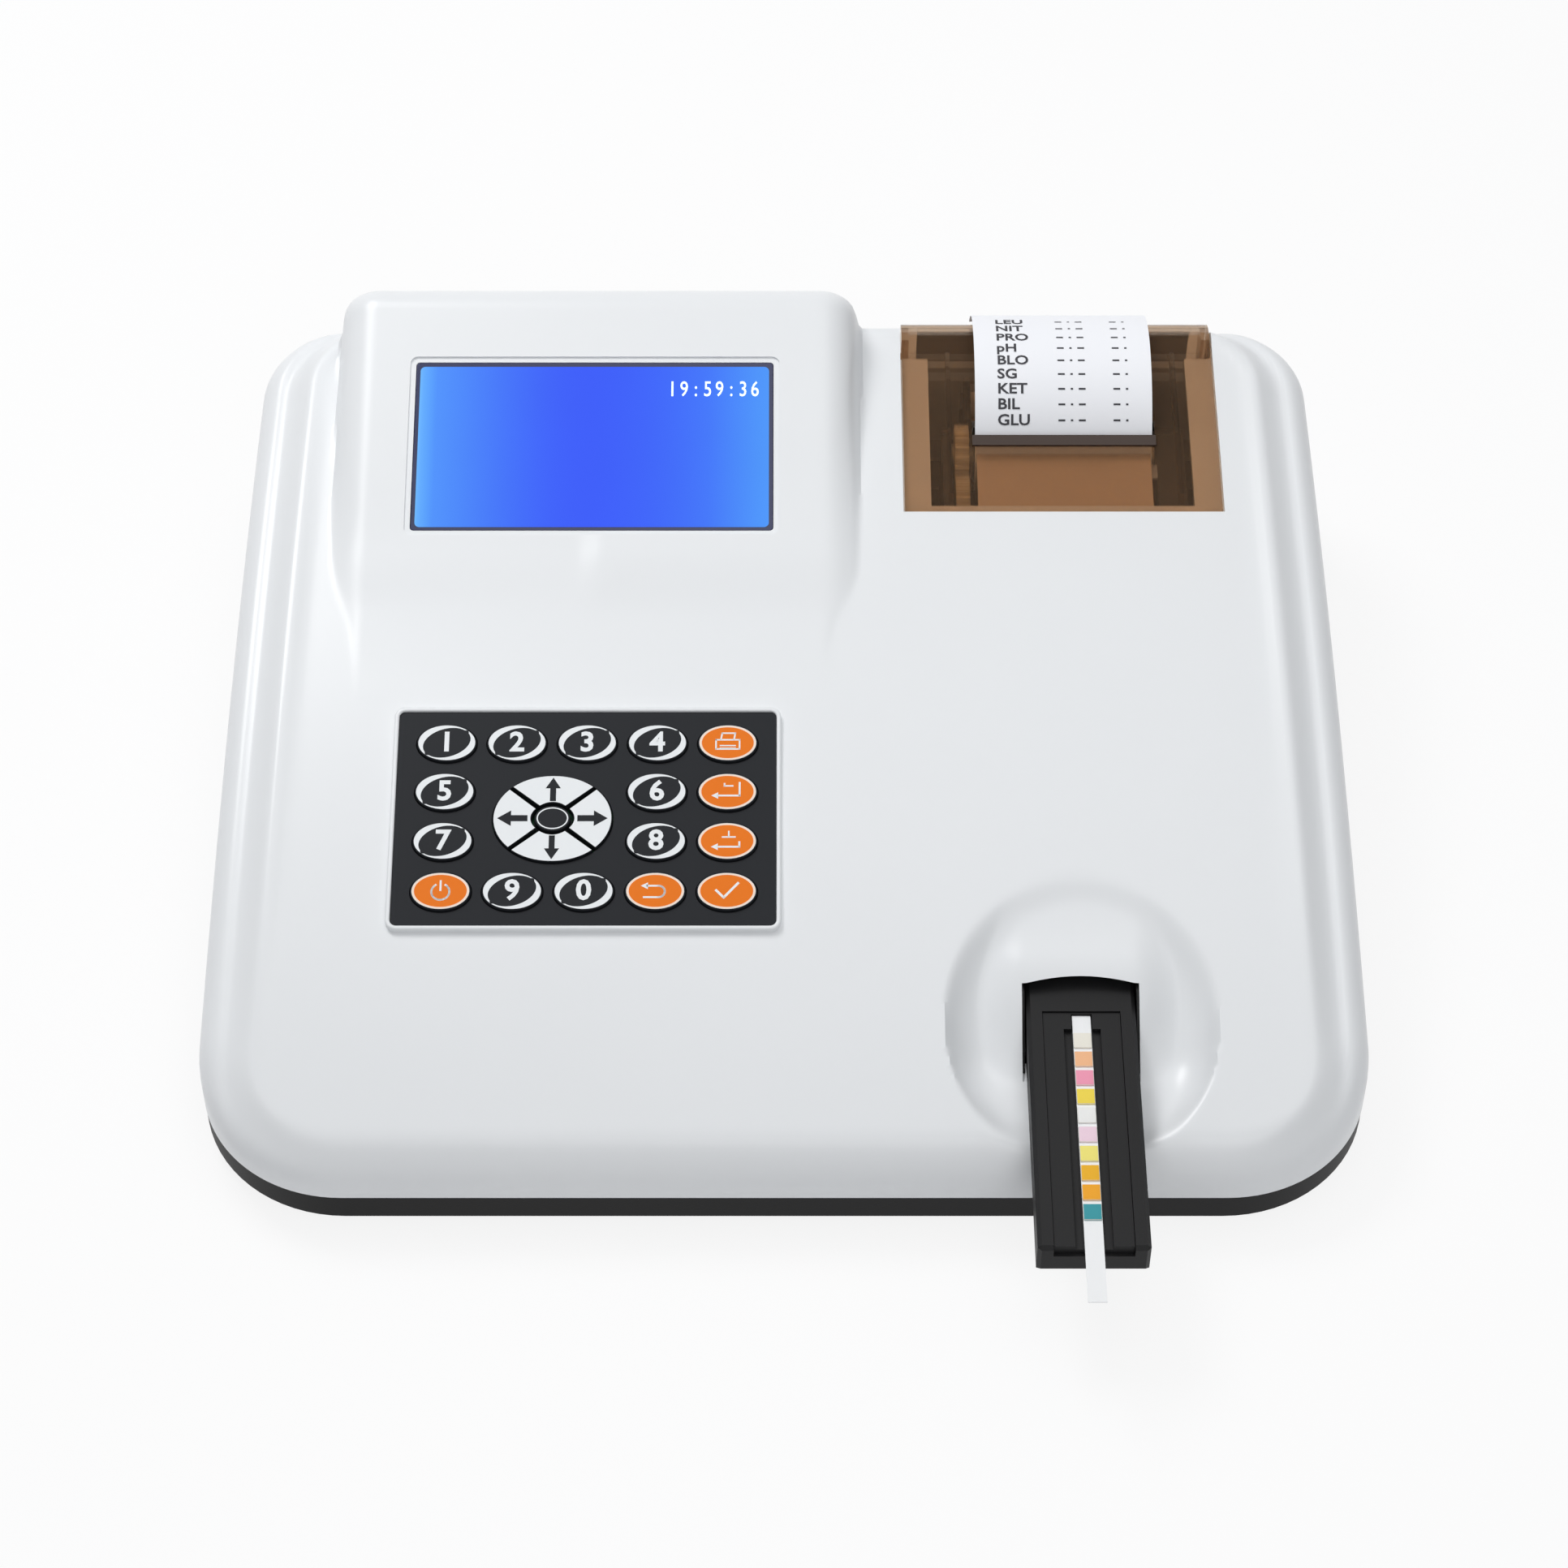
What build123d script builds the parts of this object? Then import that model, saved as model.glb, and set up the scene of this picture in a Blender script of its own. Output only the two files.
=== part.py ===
from build123d import *
import math
import os

# Bench-top strip analyzer. Millimetres, +Z up. Y is measured rearwards from the housing's
# front edge while modelling; every piece is moved by shift_y when it is written, so that the
# origin is the middle of the assembly's footprint, on the table.

# --- housing ------------------------------------------------------------------------------
housing_w = 350.0            # widest place, just behind the front corners
housing_d = 306.0            # front edge to rear wall
side_taper = 5.0             # each side draws in by this much towards the rear
front_corner_r = 45.0
rear_corner_r = 28.0
wall = 2.5
foot_h = 2.5                 # rubber feet
base_h = 12.0                # black base above the feet
front_top_y = 10.0           # where the top curve starts behind the front roll-over
front_top_z = 31.5
front_slope = 18.0           # degrees, top curve at its front
rear_slope = 2.0             # degrees, top curve at the rear wall
shoulder_r = 12.0            # roll-over all round the top
step_front = 0.3             # height of the raised top over its shoulder, at the front
step_mid = 3.5               # the same at step_mid_y
step_mid_y = 110.0
step_rear = 3.5
step_inset = 14.5            # shoulder's width, from the side to the raised top
step_front_inset = 6.0
step_corner_r = 30.0
step_edge_r = 2.6

# --- display hump -------------------------------------------------------------------------
hump_left = -142.0
hump_right = 22.0
hump_reach = 126.0           # rear wall to where the slope leaves the top
hump_start_lift = 0.03       # over the top curve, where the slope starts
hump_slope = 16.0            # degrees
hump_draft = 8.0             # degrees, lean of the side walls
hump_edge_r = 11.0

# --- display ------------------------------------------------------------------------------
lens_x = -60.75
lens_in = 71.0               # rear wall to the window's middle
lens_w = 114.5
lens_l = 58.0
lens_t = 1.9
lens_fit = 0.15
lens_margin = 2.0            # shallow recess round the window
lens_recess = 0.6
module_w = 128.0
module_l = 70.0
module_t = 8.5

# --- keypad -------------------------------------------------------------------------------
pad_x = -60.2
pad_y = 108.5
pad_proud = 0.6              # panel's top over the housing's top curve, at its middle
pad_slope = 12.55            # degrees
panel_margin_x = 5.65        # outer keys to the panel's edge
panel_margin_y = 4.65
panel_t = 2.0
panel_fit = 0.15
rim_w = 1.5
rim_h = 0.7
panel_ledge = 3.0
ledge_t = 1.9
key_w = 18.3
key_l = 12.9
key_proud = 1.0
key_fit = 0.35
key_travel = 0.6
flange_t = 1.0
flange_grow = 0.9
flange_gap = 0.3             # under the panel
board_gap = 0.9              # from the flange down to the board
key_pitch_x = 21.5
key_pitch_y = 16.8
nav_w = 36.3
nav_l = 29.4
nav_left = 10.0              # navigation ring's middle, left of the keypad's
nav_down = 0.7               # and in front of it
nav_gap = 1.0
nav_centre_w = 10.8
nav_centre_l = 8.6
pcb_t = 1.6

# --- strip dish and doorway ---------------------------------------------------------------
dish_x = 88.4
dish_y = 48.0
dish_r = 41.0
dish_front_l = 56.0          # front half of the dish is this long, and open at the front
dish_floor_z = 28.5
dish_flat_y = 34.0           # behind this the floor climbs
dish_slope = 25.0            # degrees
dish_blend_r = 7.0
dish_bend_r = 30.0           # bend between the flat floor and the climb
hood_w = 44.0
hood_low_y = 33.4
hood_top_y = 58.0
hood_top_z = 45.6
hood_rise = 8.0              # degrees, the hood's roof
hood_rear_y = 80.0
hood_edge_r = 5.0
door_w = 35.0
door_top_z = 41.6
door_crown = 2.4

# --- strip tray ---------------------------------------------------------------------------
tray_w = 32.5
tray_h = 11.5
tray_gap = 0.5               # over the dish's floor
tray_front_y = -35.0
tray_l = 150.0
tray_travel = 78.0
tray_edge = 1.2
rail_gap = 0.35              # each side, and under the tray, in the guide bed
insert_w = 23.0
insert_t = 4.0
insert_fit = 0.15
insert_rear_y = 49.0
insert_wedge_l = 6.0
groove_w = 11.0
groove_h = 1.2
ridge_w = 6.4
strip_w = 5.5
strip_l = 100.3
strip_t = 0.4
strip_rear_y = 48.4
pad_count = 10
reagent_l = 5.4
reagent_pitch = 6.76
reagent_t = 0.5
reagent_first_y = 39.1       # centre of the rearmost pad

# --- transport ----------------------------------------------------------------------------
gear_module = 1.0
backlash = 0.34              # taken off each tooth's width
tip_gap = 0.25
rack_teeth_w = 7.0
rack_x = 94.5
rack_gear_teeth = 20
rack_gear_y = 104.0
gear_w = 6.0
motor_teeth = 10
axle_r = 2.0
axle_fit = 0.05
bed_wall = 2.7
bed_floor_t = 2.5
bed_front_y = 43.0
bed_over = 13.0              # guide bed beyond the tray's rear end at full travel
bed_wall_y = 64.0
bracket_t = 3.0
motor_size = 20.0
motor_l = 22.0
motor_shaft_r = 1.5
head_y0 = 118.0
head_y1 = 156.0
head_h = 11.0
head_gap = 3.0               # over the tray

# --- printer ------------------------------------------------------------------------------
lid_x0 = 38.5
lid_x1 = 139.5
lid_l = 86.0                 # lid's front edge to the rear wall
lid_t = 2.2
lid_fit = 0.5
lid_ledge = 8.5
lid_end_drop = 22.2          # lid's lower end behind the hinge, below the top curve
lid_open = 75.0              # degrees
hinge_in = 8.0               # rear wall to the hinge
hinge_drop = 15.4
hinge_pin_r = 2.2
hinge_pin_l = 2.0
hinge_fit = 0.05
ear_t = 2.5
lid_rib_t = 1.5
lid_rib_h = 4.6
lid_rib_x0 = 53.5
lid_rib_x1 = 127.0
lid_rib_in = 18.0
slot_x0 = 60.5
slot_x1 = 119.5
slot_in = 57.4
slot_l = 9.9
tear_w = 4.2
tear_t = 0.8
tear_reach = 1.3             # over the slot's front edge
tear_gap = 0.1
paper_w = 57.0
paper_t = 0.25
paper_x = 90.0
platen_in = 52.4
platen_drop = 13.2
platen_r = 9.6
platen_shaft_r = 3.0
platen_shaft_fit = 0.05
web_gap = 0.3
exit_angle = 52.0            # degrees, the paper's climb through the slot
exit_l = 5.2                 # straight run from the platen to just under the lid
web_split = 0.5
tail_start = 8.0             # straight run from the platen to where the curl starts
tail_r = 35.0
tail_end_angle = -62.0
roll_in = 25.0
roll_drop = 35.5
roll_r = 16.0
core_r = 7.5
core_bore_r = 6.0
cradle_gap = 0.4
cradle_t = 2.0
cheek_drop = 12.0
bay_x0 = 47.0
bay_x1 = 131.0
frame_in = 44.0              # rear wall to the frame's rear face
frame_l = 36.0
frame_low_z = 30.0
frame_drop = 9.7
frame_plate_t = 3.0
frame_block_t = 9.5
feed_gear_x = 57.5           # middle of the feed gears
feed_gear_w = 4.5
platen_teeth = 18
idler_teeth = 24
pinion_teeth = 10
idler_angle = 202.4          # degrees, from the platen to the idler, seen from the right side
pinion_angle = 252.4         # degrees, from the idler to the motor's pinion
idler_pin_r = 2.0
feed_motor_r = 9.5
feed_motor_l = 26.0
feed_shaft_r = 1.0
print_head_w = 58.0
print_head_h = 13.0
print_head_t = 6.0

# --- boards, rear fittings, fixings -------------------------------------------------------
board_x0 = -142.0
board_x1 = 46.0
board_y0 = 38.0
board_y1 = 168.0
board_z = 9.0
chip_size = 28.0
chip_h = 2.4
shield_x = 30.0              # board's middle to the metal can
shield_w = 22.0
shield_l = 24.0
shield_h = 6.0
header_in = 22.0             # board's left edge to the cable header
header_w = 8.0
header_l = 60.0
header_h = 8.0
standoff_r = 3.5
screw_r = 1.5
screw_head_r = 2.8
screw_head_h = 1.8
screw_fit = 0.1
post_r = 4.6
post_x = 158.0
post_front_y = 66.0
post_rear_x = 152.0
post_rear_in = 38.0
foot_r = 9.0
foot_x = 138.0
foot_front_y = 34.0
foot_rear_in = 30.0
jack_x = -92.0
jack_w = 12.0
jack_h = 11.0
jack_l = 14.0
port_x = -50.0
port_w = 31.0
port_h = 12.5
port_l = 12.0
port_lip = 4.0
switch_x = -130.0
switch_w = 15.0
switch_h = 21.0
switch_l = 16.0
switch_z = 34.0
fitting_z = 32.0
bezel_t = 1.5
bezel_w = 2.0
rocker_gap = 0.5
rocker_pin_r = 1.5
rocker_tilt = 8.0            # degrees each way

# --- worked out from the above ------------------------------------------------------------
parting_z = foot_h + base_h
floor_z = foot_h + wall      # top of the base's floor
front_half_w = housing_w / 2 + side_taper * front_corner_r / housing_d
rear_half_w = housing_w / 2 - side_taper
strip_front_y = strip_rear_y - strip_l
tray_z0 = dish_floor_z + tray_gap
tray_z1 = tray_z0 + tray_h
bed_top_z = tray_z0 - rail_gap
slope_sines = math.sin(math.radians(front_slope)), math.sin(math.radians(rear_slope))
top_arc_r = (housing_d - front_top_y) / (slope_sines[0] - slope_sines[1])
top_arc_y = front_top_y + top_arc_r * slope_sines[0]
top_arc_z = front_top_z - top_arc_r * math.cos(math.radians(front_slope))


def top_z(y):
    """Height of the housing's raised top at a distance from its front edge."""
    return top_arc_z + math.sqrt(top_arc_r ** 2 - (y - top_arc_y) ** 2)


hump_start_y = housing_d - hump_reach
hump_start_z = top_z(hump_start_y) + hump_start_lift
lens_y = housing_d - lens_in
panel_w = 4 * key_pitch_x + key_w + 2 * panel_margin_x
panel_l = 3 * key_pitch_y + key_l + 2 * panel_margin_y
nav_x = pad_x - nav_left
nav_y = pad_y - nav_down
bed_rear_y = tray_front_y + tray_l + tray_travel + bed_over
lid_y0 = housing_d - lid_l
lid_end_z = top_z(housing_d) - lid_end_drop
hinge_y = housing_d - hinge_in
hinge_z = top_z(hinge_y) - hinge_drop
lid_rib_y1 = housing_d - lid_rib_in
slot_y0 = housing_d - slot_in
platen_y = housing_d - platen_in
platen_z = top_z(platen_y) - platen_drop
roll_y = housing_d - roll_in
roll_z = top_z(roll_y) - roll_drop
cheek_top_z = top_z(roll_y) - cheek_drop
frame_y1 = housing_d - frame_in
frame_y0 = frame_y1 - frame_l
frame_top_z = top_z(platen_y) - frame_drop
post_rear_y = housing_d - post_rear_in
foot_rear_y = housing_d - foot_rear_in
exit_n = (-math.sin(math.radians(exit_angle)), math.cos(math.radians(exit_angle)))
exit_d = (math.cos(math.radians(exit_angle)), math.sin(math.radians(exit_angle)))
web_r = platen_r + web_gap
tail_y0 = platen_y + exit_n[0] * web_r + exit_d[0] * tail_start
tail_z0 = platen_z + exit_n[1] * web_r + exit_d[1] * tail_start
tail_cy = tail_y0 - exit_n[0] * tail_r
tail_cz = tail_z0 - exit_n[1] * tail_r
tail_rear_y = tail_cy + (tail_r + paper_t) * math.cos(math.radians(tail_end_angle + 90))
rear_most_y = max(tail_rear_y, housing_d + bezel_t + port_lip)
shift_y = -(strip_front_y + rear_most_y) / 2


def slab(x0, x1, y0, y1, z0, z1):
    """Box between six limits."""
    return Pos((x0 + x1) / 2, (y0 + y1) / 2, (z0 + z1) / 2) * Box(x1 - x0, y1 - y0, z1 - z0)


def rod_x(x0, x1, y, z, r):
    """Round bar along X."""
    return Pos((x0 + x1) / 2, y, z) * Rot(0, 90, 0) * Cylinder(r, x1 - x0)


def rod_z(x, y, z0, z1, r):
    """Round bar along Z."""
    return Pos(x, y, (z0 + z1) / 2) * Cylinder(r, z1 - z0)


def along_x(face, x0, x1):
    """Side view, drawn as (y, z), pushed from x0 to x1."""
    return extrude(Plane.YZ.offset(x0) * face, amount=x1 - x0, dir=(1, 0, 0))


def along_y(face, y0, y1):
    """Front view, drawn as (x, z), pushed from y0 to y1."""
    return extrude(Pos(0, y0, 0) * (Plane.XZ * face), amount=y1 - y0, dir=(0, 1, 0))


def side_polygon(points, x0, x1):
    """Polygon in side view pushed from x0 to x1."""
    return along_x(Polygon(*points, align=None), x0, x1)


# --- housing forms ------------------------------------------------------------------------
def plan_prism(inset, z0, z1):
    """Housing's outline from above, drawn in by inset and pushed up."""
    front, rear = front_half_w - inset, rear_half_w - inset
    y0, y1 = inset, housing_d - inset
    face = Polygon((-front, y0), (front, y0), (rear, y1), (-rear, y1), align=None)
    corners = face.vertices().sort_by(Axis.Y)
    face = fillet(corners[:2], front_corner_r - inset)
    face = fillet(face.vertices().sort_by(Axis.Y)[-2:], rear_corner_r - inset)
    return Pos(0, 0, z0) * extrude(face, amount=z1 - z0)


def side_face(drop_front, drop_mid, drop_rear, z0):
    """Side view of the housing under a top curve lowered by three drops."""
    a = (0, top_z(0) - drop_front)
    m = (step_mid_y, top_z(step_mid_y) - drop_mid)
    b = (housing_d, top_z(housing_d) - drop_rear)
    lines = [ThreePointArc(a, m, b), Line(b, (housing_d, z0)),
             Line((housing_d, z0), (0, z0)), Line((0, z0), a)]
    return make_face([line.edge() for line in lines])


def rolled_body(inset, drops, z0):
    """Housing's body with its roll-over, drawn in on every side by inset."""
    sunk = [drop + inset for drop in drops]
    body = plan_prism(inset, z0, top_z(housing_d) + shoulder_r)
    body &= along_x(side_face(*sunk, z0 - 1), -housing_w, housing_w)
    top = body.faces().sort_by(Axis.Z)[-1]
    return fillet(top.edges(), shoulder_r - inset)


def raised_top(inset, z0):
    """Broad raised top inside the shoulder, with a rounded step."""
    x = housing_w / 2 - step_inset - inset
    y0, y1 = step_front_inset + inset, housing_d - inset
    taper = side_taper * (y1 - y0) / housing_d
    face = Polygon((-x, y0), (x, y0), (x - taper, y1), (-x + taper, y1), align=None)
    face = fillet(face.vertices().sort_by(Axis.Y)[:2], step_corner_r - inset)
    face = fillet(face.vertices().sort_by(Axis.Y)[-2:], rear_corner_r - inset)
    prism = Pos(0, 0, z0) * extrude(face, amount=2 * top_z(housing_d))
    return rolled_body(inset, (0, 0, 0), z0) & prism


def hump_form(inset, z0):
    """Sloping display hump, narrower towards its top, rounded along its edges."""
    tilt = math.tan(math.radians(hump_slope))
    lean = math.tan(math.radians(hump_draft))
    drop = inset / math.cos(math.radians(hump_slope))
    y0, y1 = hump_start_y - hump_edge_r, housing_d - inset

    def plane_z(y):
        return hump_start_z + (y - hump_start_y) * tilt - drop

    side = [(y0, z0), (y1, z0), (y1, plane_z(y1)), (y0, plane_z(y0))]
    block = side_polygon(side, hump_left - hump_edge_r, hump_right + hump_edge_r)
    z1 = plane_z(housing_d) + shoulder_r
    deck = top_z(housing_d)
    low, high = (z0 - deck) * lean + inset, (z1 - deck) * lean + inset
    across = Polygon((hump_left + low, z0), (hump_right - low, z0),
                     (hump_right - high, z1), (hump_left + high, z1), align=None)
    block &= along_y(across, 0, housing_d)
    top = block.faces().sort_by(Axis.Z)[-1]
    rear = top.edges().sort_by(Axis.Y)[-1]
    sides = top.edges().filter_by(lambda e: abs(e.tangent_at(0.5).Y) > 0.5)
    return fillet([rear, *sides], hump_edge_r - inset)


def dish_basin(grow):
    """Horseshoe bowl, open at the front, with a flat floor and a climbing rear."""
    circle = Circle(dish_r + grow) & Pos(0, dish_r) * Rectangle(4 * dish_r, 2 * dish_r)
    oval = Ellipse(dish_r + grow, dish_front_l + grow)
    oval &= Pos(0, -dish_front_l) * Rectangle(4 * dish_r, 2 * dish_front_l)
    prism = Pos(dish_x, dish_y, 0) * extrude(circle + oval, amount=housing_d)
    climb = math.tan(math.radians(dish_slope))
    low = dish_floor_z - grow
    lean = grow / math.cos(math.radians(dish_slope)) - grow
    bend_y = dish_flat_y + lean / climb
    far_y = dish_y + 2 * dish_r
    side = [(-dish_front_l, low), (bend_y, low), (far_y, low + (far_y - bend_y) * climb),
            (far_y, housing_d), (-dish_front_l, housing_d)]
    view = Polygon(*side, align=None)
    bend = view.vertices().sort_by_distance((bend_y, low))[0]
    view = fillet(bend, dish_bend_r + grow)
    bowl = prism & along_x(view, dish_x - 2 * dish_r, dish_x + 2 * dish_r)
    rim = [e for e in bowl.edges() if on_one_wall(e, bowl)]
    return fillet(rim, dish_blend_r + grow)


def on_one_wall(edge, bowl):
    """True for an edge between the bowl's upright wall and its floor."""
    faces = [f for f in bowl.faces() if any(e.is_same(edge) for e in f.edges())]
    rises = sorted(abs(f.normal_at().Z) for f in faces)
    return len(rises) == 2 and rises[0] < 0.1 and rises[1] > 0.5 and \
        edge.center().Z < housing_d / 2


def hood_form(shrink):
    """Wedge over the doorway, with a leaning front and rounded flanks."""
    roof = math.tan(math.radians(hood_rise))
    lean = (hood_top_z - dish_floor_z) / (hood_top_y - hood_low_y)
    low = hood_low_y + shrink * math.hypot(1, lean) / lean
    top = hood_top_z - shrink / math.cos(math.radians(hood_rise))
    bend = low + (top - dish_floor_z) / lean
    base = dish_floor_z - 3 * wall
    side = [(low - (dish_floor_z - base) / lean, base), (bend, top),
            (hood_rear_y, top + (hood_rear_y - bend) * roof), (hood_rear_y, base)]
    half = hood_w / 2 - shrink
    block = side_polygon(side, dish_x - half, dish_x + half)
    crest = [e for e in block.edges().filter_by(lambda e: abs(e.tangent_at(0.5).X) < 0.1)
             if e.center().Z > dish_floor_z and abs(e.tangent_at(0.5).Y) > 0.5]
    return fillet(crest, hood_edge_r - shrink)


def dish_form(grow):
    """Space of the dish, round its hood."""
    return dish_basin(grow) - hood_form(grow)


def door_form():
    """Arched doorway through the hood's front."""
    half = door_w / 2
    lines = [Line((-half, dish_floor_z), (half, dish_floor_z)),
             Line((half, dish_floor_z), (half, door_top_z)),
             ThreePointArc((half, door_top_z), (0, door_top_z + door_crown), (-half, door_top_z)),
             Line((-half, door_top_z), (-half, dish_floor_z))]
    face = make_face([line.edge() for line in lines])
    return Pos(dish_x, 0, 0) * along_y(face, hood_low_y - wall, hood_top_y + wall)


# --- tilted places ------------------------------------------------------------------------
def lens_place():
    """Plane of the hump's slope at the display's middle."""
    z = hump_start_z + (lens_y - hump_start_y) * math.tan(math.radians(hump_slope))
    return Location((lens_x, lens_y, z), (hump_slope, 0, 0))


def pad_place():
    """Plane of the keypad panel's face at its middle."""
    return Location((pad_x, pad_y, top_z(pad_y) + pad_proud), (pad_slope, 0, 0))


def plate(place, w, l, z0, z1):
    """Flat block on a tilted place, between two heights over it."""
    return place * Pos(0, 0, (z0 + z1) / 2) * Box(w, l, z1 - z0)


def oval(place, x, y, w, l, z0, z1):
    """Oval block on a tilted place."""
    return place * Pos(x, y, z0) * extrude(Ellipse(w / 2, l / 2), amount=z1 - z0)


# --- printer bay --------------------------------------------------------------------------
def over_curve(drop, x0, x1, y0, y1):
    """Everything above the top curve lowered by drop, within four limits."""
    tall = slab(x0, x1, y0, y1, base_h, housing_d / 2)
    return tall - along_x(side_face(drop, drop, drop, 0), x0 - 1, x1 + 1)


def bay_walls():
    """Ledge, side walls and hinge cheeks that the shell keeps round the printer bay."""
    x0, x1 = lid_x0 - lid_fit - wall, lid_x1 + lid_fit + wall
    depth = lid_t + 2 * lid_fit + wall
    cheek_y = hinge_y - hinge_pin_r - 2 * wall
    rim = over_curve(depth, x0, x1, lid_y0 - lid_fit - wall, housing_d)
    return rim + slab(x0, x0 + wall, cheek_y, housing_d, lid_end_z, housing_d / 2) \
        + slab(x1 - wall, x1, cheek_y, housing_d, lid_end_z, housing_d / 2)


def bay_cut():
    """Pocket for the lid, the opening under it and the sweep of the lid's rear end."""
    x0, x1 = lid_x0 - lid_fit, lid_x1 + lid_fit
    sweep_r = math.hypot(housing_d - hinge_y, hinge_z - lid_end_z) + lid_fit
    ledge_end_y = hinge_y - sweep_r - ear_t
    pocket = over_curve(lid_t + 2 * lid_fit, x0, x1, lid_y0 - lid_fit, housing_d + 1)
    bay = slab(bay_x0, bay_x1, lid_y0 + lid_ledge / 2, housing_d - wall, base_h, housing_d / 2)
    rear = slab(x0, x1, ledge_end_y, housing_d + 1, lid_end_z - lid_fit / 2, housing_d / 2)
    sweep = rod_x(x0, x1, hinge_y, hinge_z, sweep_r)
    pins = rod_x(x0 - wall - 1, x1 + wall + 1, hinge_y, hinge_z, hinge_pin_r + hinge_fit)
    return pocket + bay + rear + sweep + pins


# --- gears --------------------------------------------------------------------------------
def involute(base_r, r):
    """Angle of an involute's point at radius r from its start."""
    t = math.sqrt(max((r / base_r) ** 2 - 1, 0))
    return t - math.atan(t)


def gear(teeth, width, phase, bore):
    """Spur gear across X with a tooth's middle at the angle phase, seen from +X."""
    r = gear_module * teeth / 2
    base_r = r * math.cos(math.radians(20))
    half = math.pi / (2 * teeth) - backlash / (2 * r) + involute(base_r, r)
    radii = (max(base_r, r - gear_module * 1.25), r, r + gear_module)
    points = []
    for k in range(teeth):
        mid = math.radians(phase) + 2 * math.pi * k / teeth
        flank = [(radius, half - involute(base_r, radius)) for radius in radii]
        root = (r - gear_module * 1.25, half - involute(base_r, radii[0]))
        sides = [(q, mid - a) for q, a in [root, *flank]] + [(q, mid + a) for q, a in [*flank[::-1], root]]
        points += [(q * math.cos(a), q * math.sin(a)) for q, a in sides]
    face = Polygon(*tidy(points), align=None)
    body = along_x(face, -width / 2, width / 2)
    return body - rod_x(-width, width, 0, 0, bore) if bore else body


def tidy(points):
    """Points without near repeats."""
    kept = []
    for p in points:
        if not kept or math.dist(kept[-1], p) > 1e-3:
            kept.append(p)
    return kept


def meshed(phase, teeth, direction, other):
    """Place and phase of a gear in mesh, in the direction given, with one of phase and teeth."""
    pitch = 360 / teeth
    part = ((direction - phase) % pitch) / pitch
    gap = gear_module * (teeth + other) / 2
    at = (gap * math.cos(math.radians(direction)), gap * math.sin(math.radians(direction)))
    return at, direction + 180 + (part + 0.5) * 360 / other


# --- housing pieces -----------------------------------------------------------------------
def fixing_points():
    """Centres of the screw posts."""
    return [(sx * x, y) for x, y in ((post_x, post_front_y), (post_rear_x, post_rear_y))
            for sx in (-1, 1)]


def cavity():
    """Space inside the top shell."""
    steps = (step_front, step_mid, step_rear)
    space = rolled_body(wall, steps, floor_z) + raised_top(wall, floor_z)
    space += hump_form(wall, hump_start_z - shoulder_r)
    space -= dish_form(wall)
    space -= bay_walls()
    space -= plate(pad_place(), panel_w + 2 * rim_w, panel_l + 2 * rim_w, -panel_t - ledge_t, rim_h)
    for x, y in fixing_points():
        space -= rod_z(x, y, parting_z, housing_d / 2, post_r)
    return space


def rear_cuts():
    """Openings in the rear wall for the switch, the power inlet and the data port."""
    y0, y1 = housing_d - 2 * wall, housing_d + 1
    cuts = Part()
    for x, z, w, h in ((switch_x, switch_z, switch_w, switch_h), (jack_x, fitting_z, jack_w, jack_h),
                       (port_x, fitting_z, port_w, port_h)):
        cuts += slab(x - w / 2, x + w / 2, y0, y1, z - h / 2, z + h / 2)
    return cuts


def make_top_shell():
    """Moulded top: shoulders, raised top, hump, dish, hood, keypad frame and printer bay."""
    steps = (step_front, step_mid, step_rear)
    shell = rolled_body(0, steps, parting_z) + raised_top(0, parting_z)
    shell += hump_form(0, hump_start_z - shoulder_r)
    rim = plate(pad_place(), panel_w + 2 * rim_w, panel_l + 2 * rim_w, -panel_t, rim_h)
    shell += rim
    shell -= cavity()
    shell -= dish_form(0) + door_form() + bay_cut() + rear_cuts()
    pad = pad_place()
    shell -= plate(pad, panel_w + 2 * panel_fit, panel_l + 2 * panel_fit, -panel_t, 2 * rim_h)
    shell -= plate(pad, panel_w - 2 * panel_ledge, panel_l - 2 * panel_ledge,
                   -panel_t - 2 * wall, 0)
    lens = lens_place()
    shell -= plate(lens, lens_w + 2 * lens_fit, lens_l + 2 * lens_fit, -2 * wall, wall)
    shell -= plate(lens, lens_w + 2 * lens_margin, lens_l + 2 * lens_margin, -lens_recess, wall)
    for x, y in fixing_points():
        shell -= rod_z(x, y, parting_z - 1, parting_z + base_h, screw_r + screw_fit)
    return shell


def make_base():
    """Shallow black base with screw bosses, board standoffs and screw holes."""
    base = plan_prism(0, foot_h, parting_z)
    base = chamfer(base.faces().sort_by(Axis.Z)[0].edges(), wall)
    base -= plan_prism(wall, floor_z, parting_z + 1)
    for x, y in fixing_points():
        base += rod_z(x, y, floor_z, parting_z, post_r)
    for x, y in standoffs():
        base += rod_z(x, y, floor_z, board_z, standoff_r)
    for x, y in fixing_points():
        base -= rod_z(x, y, 0, parting_z + 1, screw_r + screw_fit)
        base -= rod_z(x, y, 0, foot_h + screw_head_h + 1, screw_head_r + 2 * screw_fit)
    return base


def standoffs():
    """Centres of the main board's standoffs."""
    inset = 2 * standoff_r
    return [(x, y) for x in (board_x0 + inset, board_x1 - inset)
            for y in (board_y0 + inset, board_y1 - inset)]


def make_feet():
    """Four round rubber feet."""
    feet = [rod_z(sx * foot_x, y, 0, foot_h, foot_r)
            for sx in (-1, 1) for y in (foot_front_y, foot_rear_y)]
    return Compound(children=[f.solid() for f in feet])


def screw(x, y, head_z, up, length):
    """Pan-head screw; up is +1 when its point is above its head."""
    z0, z1 = sorted((head_z, head_z + up * screw_head_h))
    e0, e1 = sorted((head_z + up * screw_head_h / 2, head_z + up * length))
    return rod_z(x, y, z0, z1, screw_head_r) + rod_z(x, y, e0, e1, screw_r)


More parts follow.
